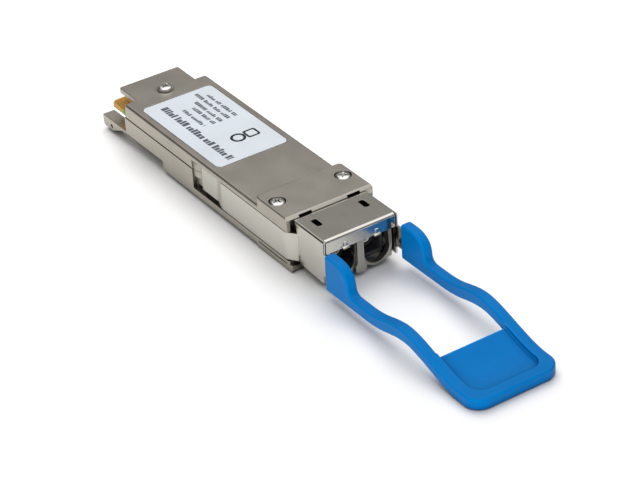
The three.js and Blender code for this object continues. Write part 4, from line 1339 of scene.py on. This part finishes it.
def build_screw(name, node, x, s, seat, head, length, turn):
    """Cross-head screw whose head, of height head, sits at z = seat."""
    profile = [(0, -length), (SHAFT_R * 0.7, -length), (SHAFT_R, -length + 0.35)]
    z = -length + 0.6
    while z < -0.5:      # thread
        profile += [(SHAFT_R, z), (SHAFT_R - 0.13, z + 0.1), (SHAFT_R - 0.13, z + 0.16),
                    (SHAFT_R, z + 0.26)]
        z += 0.4
    profile += [(SHAFT_R, 0), (SCREW_R - 0.05, 0), (SCREW_R, 0.05)]
    profile += [(SCREW_R - inset, head * share) for inset, share in HEAD_CROWN]
    profile.append((0, head))
    screw = revolve(profile, 56)
    screw = cut(screw, [cross_arm(head, turn + a) for a in (0, math.pi / 2)])
    point = [(0, head - 0.72), (0.14, head - 0.6), (0.34, head - 0.1), (0.42, head + 0.3),
             (0, head + 0.3)]
    screw = cut(screw, [revolve(point, 24)])
    soften(screw, 0.03, angle=35, where=lambda e: all(v.co.z > head * 0.3 for v in e.verts))
    screw.data.transform(Matrix.Translation((x, -s, seat)))
    place(screw, name, SCREW_NICKEL, node)


# ------------------------------------------------------------------ label and its print
PRINT_Z = (label_hi.z - 0.008, label_hi.z + 0.012)
LABEL_S0, LABEL_S1 = -label_hi.y, -label_lo.y
PRINT_ROWS = [      # x, start and end past the label's rear edge
    (-1.55, 5.3, 12.8), (0.35, 5.7, 13.2), (1.85, 4.1, 13.4), (3.55, 1.5, 13.2),
    (5.15, 3.2, 13.2),
]
MARK_S = 30.6


def print_row(rng, name, x, start, end, height, widths, gap, space):
    """A greeked row along s: plain blocks of uneven length, grouped like words."""
    bm = bmesh.new()
    s = start
    word = rng.randint(3, 7)
    while s < end:
        width = rng.uniform(*widths)
        block_height = height * (1.0 if rng.random() > 0.35 else 0.72)
        block_end = min(s + width, end)
        low = x - height * 0.5
        high = low + block_height
        extrude(bm, [(low, s), (high, s), (high, block_end), (low, block_end)], PRINT_Z)
        s = block_end + gap
        word -= 1
        if word == 0:
            s += space
            word = rng.randint(3, 7)
    face_out(bm)
    place(mesh_object(bm), name, INK_GREY, smooth=10, weighted=False)


def print_outline(name, inner, outer):
    """A closed printed line between two outlines."""
    low, high = PRINT_Z
    bm = bmesh.new()
    rings = [[bm.verts.new(row_vector(x, s, z)) for x, s in outline]
             for outline, z in ((inner, low), (outer, low), (outer, high), (inner, high))]
    for k in range(4):
        band(bm, rings[k], rings[(k + 1) % 4])
    face_out(bm)
    place(mesh_object(bm), name, INK_DARK, smooth=30, weighted=False)


def circle(x, s, radius, sides=40):
    angles = [2 * math.pi * i / sides for i in range(sides)]
    return [(x + radius * math.cos(a), s - radius * math.sin(a)) for a in angles]


def rounded_square(x, s, half, inset):
    span = half - inset
    return rounded_rect((x - half + inset, x + span), (s - half + inset, s + span),
                        0.55 - inset * 0.5, 5)


def build_label():
    film = prism("z", rounded_rect((-label_hi.x, label_hi.x), (LABEL_S0, LABEL_S1), 1.1, 10),
                 (label_lo.z, label_hi.z), round_high=0.03, seg=2)
    place(film, "label_film", LABEL_FILM, "label")
    rng = random.Random(7)
    print_row(rng, "print_heading", -4.05, LABEL_S0 + 2.2, LABEL_S1 - 1.3, height=1.5,
              widths=(0.5, 0.95), gap=0.2, space=0.42)
    for number, (x, start, end) in enumerate(PRINT_ROWS, 1):
        print_row(rng, f"print_row_{number}", x, LABEL_S0 + start, LABEL_S0 + end,
                  height=0.8, widths=(0.26, 0.52), gap=0.14, space=0.4)
    print_outline("print_mark_a", circle(1.0, MARK_S, 1.5 - 0.52), circle(1.0, MARK_S, 1.5))
    print_outline("print_mark_b", rounded_square(3.9, MARK_S, 1.35, inset=0.42),
                  rounded_square(3.9, MARK_S, 1.35, inset=0.0))


# ------------------------------------------------------------------ board and contacts
FINGERS, FINGER_PITCH, FINGER_HW, FINGER_END = 19, 0.8, 0.28, 4.15


def finger_outline(i, half_width, rear):
    x = (i - 9) * FINGER_PITCH
    x0, x1 = x - FINGER_HW, x + FINGER_HW
    start = rear + (0.34 if i % 3 == 0 else 0.6)
    if i in (0, FINGERS - 1):      # wide pads at the board's corners
        start = rear + 0.8
        if i == 0:
            x0 = -half_width + 0.1
        else:
            x1 = half_width - 0.1
    return rounded_rect((x0, x1), (start, FINGER_END), [0.12, 0.12, 0.05, 0.05], 3)


def build_board():
    lo, hi = node_box("circuit_board")
    half, rear, front = hi.x, -hi.y, -lo.y
    chamfer, neck, neck_hw = 0.7, 29.2, 6.45
    outline = fillet([(-half + chamfer, rear), (half - chamfer, rear), (half, rear + chamfer),
                      (half, neck), (neck_hw, neck), (neck_hw, front), (-neck_hw, front),
                      (-neck_hw, neck), (-half, neck), (-half, rear + chamfer)],
                     {corner: 0.3 for corner in range(3, 9)}, 4)
    board = prism("z", outline, (lo.z, hi.z))
    board = cut(board, [rear_screw_hole(SHAFT_R + 0.25, (4, 7), sides=32)])
    # chamfer the level edges at the rear
    soften(board, 0.14, seg=1, angle=40, where=lambda e: (
        all(v.co.y > -rear - 1.0 - 1e-3 for v in e.verts)
        and abs(e.verts[0].co.z - e.verts[1].co.z) < 1e-4))
    place(board, "board", BOARD_GREEN, "circuit_board")
    for level, z in (("top", (hi.z, hi.z + 0.05)), ("bottom", (lo.z - 0.05, lo.z))):
        bm = bmesh.new()
        for i in range(FINGERS):
            extrude(bm, finger_outline(i, half, rear), z)
        face_out(bm)
        place(mesh_object(bm), f"fingers_{level}", GOLD, f"contact_row_{level}",
              weighted=False)


# ------------------------------------------------------------------ port receptacle
BARREL = [(0, 0), (1.75, 0), (1.75, 0.7), (1.45, 1.0), (1.45, 4.1), (1.2, 4.4), (0, 4.4)]
BORE_FLARE = [(0, 0), (0.7, 0), (0.7, 7.9), (1.05, 8.5), (0, 8.5)]      # radius, length


def build_receptacle():
    lo, hi = node_box("port_receptacle")
    body = prism("s", rounded_rect((lo.x, hi.x), (lo.z, hi.z), 0.35, 4), (-hi.y, -lo.y),
                 round_high=0.12, seg=2)
    tools = []
    for side in (-1, 1):
        opening = sorted((side * 0.85, side * 5.4))
        tools += [
            prism("s", rounded_rect(opening, (2.1, 6.7), 0.25, 4), (64.6, 70)),
            box(around(side * PORT_X, 1.02), (65.4, 70), (6.5, 7.3)),
            box(around(side * PORT_X, 0.5), (66.2, 68.2), (7.0, 8.0)),
        ]
    receptacle = cut(body, tools)
    receptacle = union([receptacle, *both(
        lambda side: revolve(BARREL, 48, (side * PORT_X, 64.0, PORT_Z), "s"))])
    receptacle = cut(receptacle, [
        *both(lambda side: rod("s", (side * PORT_X, PORT_Z), 0.86, (62.0, 68.2), 32)),
        *both(lambda side: revolve(BORE_FLARE, 32, (side * PORT_X, 60.0, PORT_Z), "s")),
    ])
    soften(receptacle, 0.06, angle=35)
    place(receptacle, "receptacle", PORT_BLACK, "port_receptacle")
    for side, use in ((-1, "transmit"), (1, "receive")):      # slit ceramic sleeves
        centre = (side * PORT_X, PORT_Z)
        sleeve = cut(rod("s", centre, 0.82, (62.9, 68.1), 40, edge=0.06), [
            rod("s", centre, 0.63, (62.0, 69.0), 32),
            box(around(side * PORT_X, 0.05), (62, 69), (PORT_Z + 0.4, PORT_Z + 1.2)),
        ])
        place(sleeve, f"sleeve_{use}", CERAMIC, f"ferrule_sleeve_{use}")


# ------------------------------------------------------------------ springs
def build_spring(side, name, node):
    wire, turns, steps_per_turn = 0.11, 9.0, 28
    closed = 0.03      # share of the length taken by each closed end coil
    coil_r = SPRING_R - wire
    start, end = SPRING_S0 + 0.12, SPRING_S1 - 0.12
    steps = int(turns * steps_per_turn)
    points = []
    for i in range(steps + 1):
        turn = i / steps * turns
        if turn < 1:
            share = closed * turn
        elif turn > turns - 1:
            share = 1 - closed * (turns - turn)
        else:
            share = closed + 0.94 * (turn - 1) / (turns - 2)
        a = turn * 2 * math.pi
        points.append((side * SPRING_X + coil_r * math.cos(a),
                       -(start + (end - start) * share),
                       SPRING_Z + coil_r * math.sin(a)))
    spring = tube(points, wire, 8)
    place(spring, name, SPRING_WIRE, node, smooth=60, weighted=False)
    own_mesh(spring)


build_shell()
build_cover()
build_slider()
build_tab()
build_screw("screw_a", "screw_rear", x=0.0, s=SCREW_REAR_S, seat=Z_TOP + 0.01,
            head=0.85, length=5.2, turn=0.55)
build_screw("screw_b", "screw_front_left", x=-SCREW_FRONT_X, s=SCREW_FRONT_S,
            seat=Z_HEAD - 0.8, head=0.92, length=6.0, turn=0.25)
build_screw("screw_c", "screw_front_right", x=SCREW_FRONT_X, s=SCREW_FRONT_S,
            seat=Z_HEAD - 0.8, head=0.92, length=6.0, turn=0.9)
build_label()
build_board()
build_receptacle()
build_spring(-1, "spring_left", "return_spring_left")
build_spring(1, "spring_right", "return_spring_right")

# ------------------------------------------------------------------ frame nodes kept in shape
KEPT_NODES = {
    "driver_chip": CHIP_BLACK, "receiver_chip": CHIP_BLACK, "controller_chip": CHIP_BLACK,
    "memory_chip": CHIP_BLACK, "power_inductor": FERRITE, "thermal_pad_driver": THERMAL_PAD,
    "thermal_pad_receiver": THERMAL_PAD, "transmitter_optic": GOLD, "receiver_optic": GOLD,
    "flex_transmit": AMBER_FILM, "flex_receive": AMBER_FILM, "optic_clamp": CLAMP_STEEL,
    "conductive_gasket": GASKET,
}


def refinish(ob, material):
    ob.data.materials.clear()
    ob.data.materials.append(material)
    weld = ob.modifiers.new("weld", "WELD")
    weld.merge_threshold = 0.000002
    bevel = ob.modifiers.new("edge", "BEVEL")
    bevel.width = 0.00006
    bevel.segments = 2
    bevel.limit_method = "ANGLE"
    bevel.angle_limit = math.radians(50)


for node_name, node_material in KEPT_NODES.items():
    refinish(frame["nodes"][node_name], node_material)


# ------------------------------------------------------------------ floor
def floor_paper():
    """White paper, warmer in reflections and clear when seen from below."""
    mat = Surface("floor_white")
    cloud = mat.noise(scale=0.02)
    color = mat.mix(mat.remap(cloud, within=(0.3, 0.7)), (0.86, 0.86, 0.86),
                    (0.88, 0.88, 0.885))
    rays = mat.node("ShaderNodeLightPath").outputs
    color = mat.mix(rays["Is Glossy Ray"], color, (0.66, 0.655, 0.635))
    mat.finish(color=color, rough=0.75, spec=0.2,
               normal=mat.bump(mat.noise(scale=0.6, detail=2.0), strength=0.02,
                               distance=0.0001))
    clear = mat.node("ShaderNodeBsdfTransparent")
    either = mat.node("ShaderNodeMixShader")
    back = mat.node("ShaderNodeNewGeometry").outputs["Backfacing"]
    passed = mat.math("GREATER_THAN", rays["Transparent Depth"], 0.5)
    mat.feed(either.inputs[0], mat.math("MAXIMUM", back, passed))
    mat.feed(either.inputs[1], mat.shader.outputs[0])
    mat.feed(either.inputs[2], clear.outputs[0])
    mat.feed(mat.output.inputs["Surface"], either.outputs[0])
    return mat.material


def build_floor():
    """A square grid in metres, just under the frame's lowest point."""
    z = CAD_LO.z - 0.00003
    cells, size, centre_y = 24, 2.4, -0.02
    bm = bmesh.new()
    grid = [[bm.verts.new((-size / 2 + size * i / cells,
                           centre_y - size / 2 + size * j / cells, z))
             for j in range(cells + 1)] for i in range(cells + 1)]
    for i in range(cells):
        for j in range(cells):
            bm.faces.new((grid[i][j], grid[i + 1][j], grid[i + 1][j + 1], grid[i][j + 1]))
    floor = mesh_object(bm, "floor")
    floor.data.materials.append(floor_paper())


build_floor()

# ------------------------------------------------------------------ lights
CENTRE = frame_point(0.0, 56.0, 4.0)


def area_light(name, offset, size, power, color=(1, 1, 1)):
    """Rectangular light aimed at CENTRE and hidden from the camera and reflections."""
    light = bpy.data.lights.new(name, "AREA")
    light.shape = "RECTANGLE"
    light.size, light.size_y = size
    light.energy = power
    light.color = color
    ob = bpy.data.objects.new(name, light)
    ob.location = CENTRE + offset
    SCENE.collection.objects.link(ob)
    ob.rotation_mode = "QUATERNION"
    ob.rotation_quaternion = (CENTRE - ob.location).to_track_quat("-Z", "Y")
    ob.visible_glossy = False
    ob.visible_camera = False
    return ob


def build_lights():
    area_light("key", offset=Vector((0.13, 0.33, 0.42)), size=(0.56, 0.56), power=2.75,
               color=(1.0, 0.995, 0.985))
    fills = [
        area_light("fill_high", offset=Vector((-0.45, -0.71, 0.54)) * 0.95,
                   size=(0.5, 0.5), power=2.0),
        area_light("fill_low", offset=Vector((-0.71, -0.66, 0.16)) * 0.95,
                   size=(0.6, 0.3), power=8.2),
    ]
    # the fills skip the floor, which keeps one soft shadow
    lit = bpy.data.collections.new("lit_by_fill")
    for ob in SCENE.objects:
        if ob.type == "MESH" and ob.name != "floor":
            lit.objects.link(ob)
    for fill in fills:
        fill.light_linking.receiver_collection = lit


build_lights()

# ------------------------------------------------------------------ world
SKY_ENDS = (0.30, 1.35)      # neutral grey levels at positions 0 and 1
SKY_BANDS = [       # position, grey level; levels under 1 are warmed
    (0.02, 0.06), (0.16, 0.07), (0.34, 0.25), (0.42, 0.28), (0.58, 0.28), (0.72, 1.15),
]
CARD_DIRECTION = (-0.42, 0.70, 0.58)      # a dark card, in frame x, y, z


def build_world():
    world = bpy.data.worlds.new("studio")
    SCENE.world = world
    world.use_nodes = True
    graph = Graph(world.node_tree)
    output = graph.node("ShaderNodeOutputWorld")
    background = graph.node("ShaderNodeBackground")
    graph.feed(output.inputs[0], background.outputs[0])
    direction = graph.node("ShaderNodeTexCoord").outputs["Generated"]
    height = graph.split(direction)["Z"]
    ramp = graph.node("ShaderNodeValToRGB")
    graph.feed(ramp.inputs[0], height)
    elements = ramp.color_ramp.elements
    for i, level in enumerate(SKY_ENDS):
        elements[i].position = float(i)
        elements[i].color = (level, level, level, 1)
    for position, level in SKY_BANDS:
        green, blue = (0.955, 0.91) if level < 1 else (1.0, 1.0)
        elements.new(position).color = (level, level * green, level * blue, 1)
    card = graph.node("ShaderNodeVectorMath", operation="DOT_PRODUCT")
    graph.feed(card.inputs[0], direction)
    card.inputs[1].default_value = tuple(Vector(CARD_DIRECTION).normalized())
    shading = graph.remap(card.outputs["Value"], within=(0.86, 0.93), to=(1.0, 0.25))
    dimmed = graph.node("ShaderNodeVectorMath", operation="SCALE")
    graph.feed(dimmed.inputs[0], ramp.outputs[0])
    graph.feed(dimmed.inputs["Scale"], shading)
    # the camera sees plain white paper beyond the floor
    seen = graph.node("ShaderNodeMixRGB")
    rays = graph.node("ShaderNodeLightPath")
    graph.feed(seen.inputs[0], rays.outputs["Is Camera Ray"])
    graph.feed(seen.inputs[1], dimmed.outputs[0])
    graph.feed(seen.inputs[2], (0.86, 0.86, 0.86))
    graph.feed(background.inputs[0], seen.outputs[0])
    graph.feed(background.inputs[1], 1.0)


build_world()

SCENE.view_settings.view_transform = "Standard"
SCENE.view_settings.look = "None"
SCENE.view_settings.exposure = 0.0
SCENE.view_settings.gamma = 1.0


# ------------------------------------------------------------------ camera
def build_camera():
    """Long lens from the left, above and in front."""
    lens = bpy.data.cameras.new("cam")
    camera = bpy.data.objects.new("cam", lens)
    SCENE.collection.objects.link(camera)
    right = Vector((0.826042, -0.561329, -0.050643))
    up = Vector((0.338934, 0.42295, 0.840379))
    back = Vector((-0.45031, -0.711353, 0.539628))
    turn = Matrix((right, up, back)).transposed().to_4x4()
    camera.matrix_world = Matrix.Translation(frame_point(-196.73, 368.974, 236.064)) @ turn
    lens.sensor_width = 36.0
    lens.lens = 138.133125
    lens.clip_start, lens.clip_end = 0.05, 10.0
    SCENE.camera = camera


build_camera()
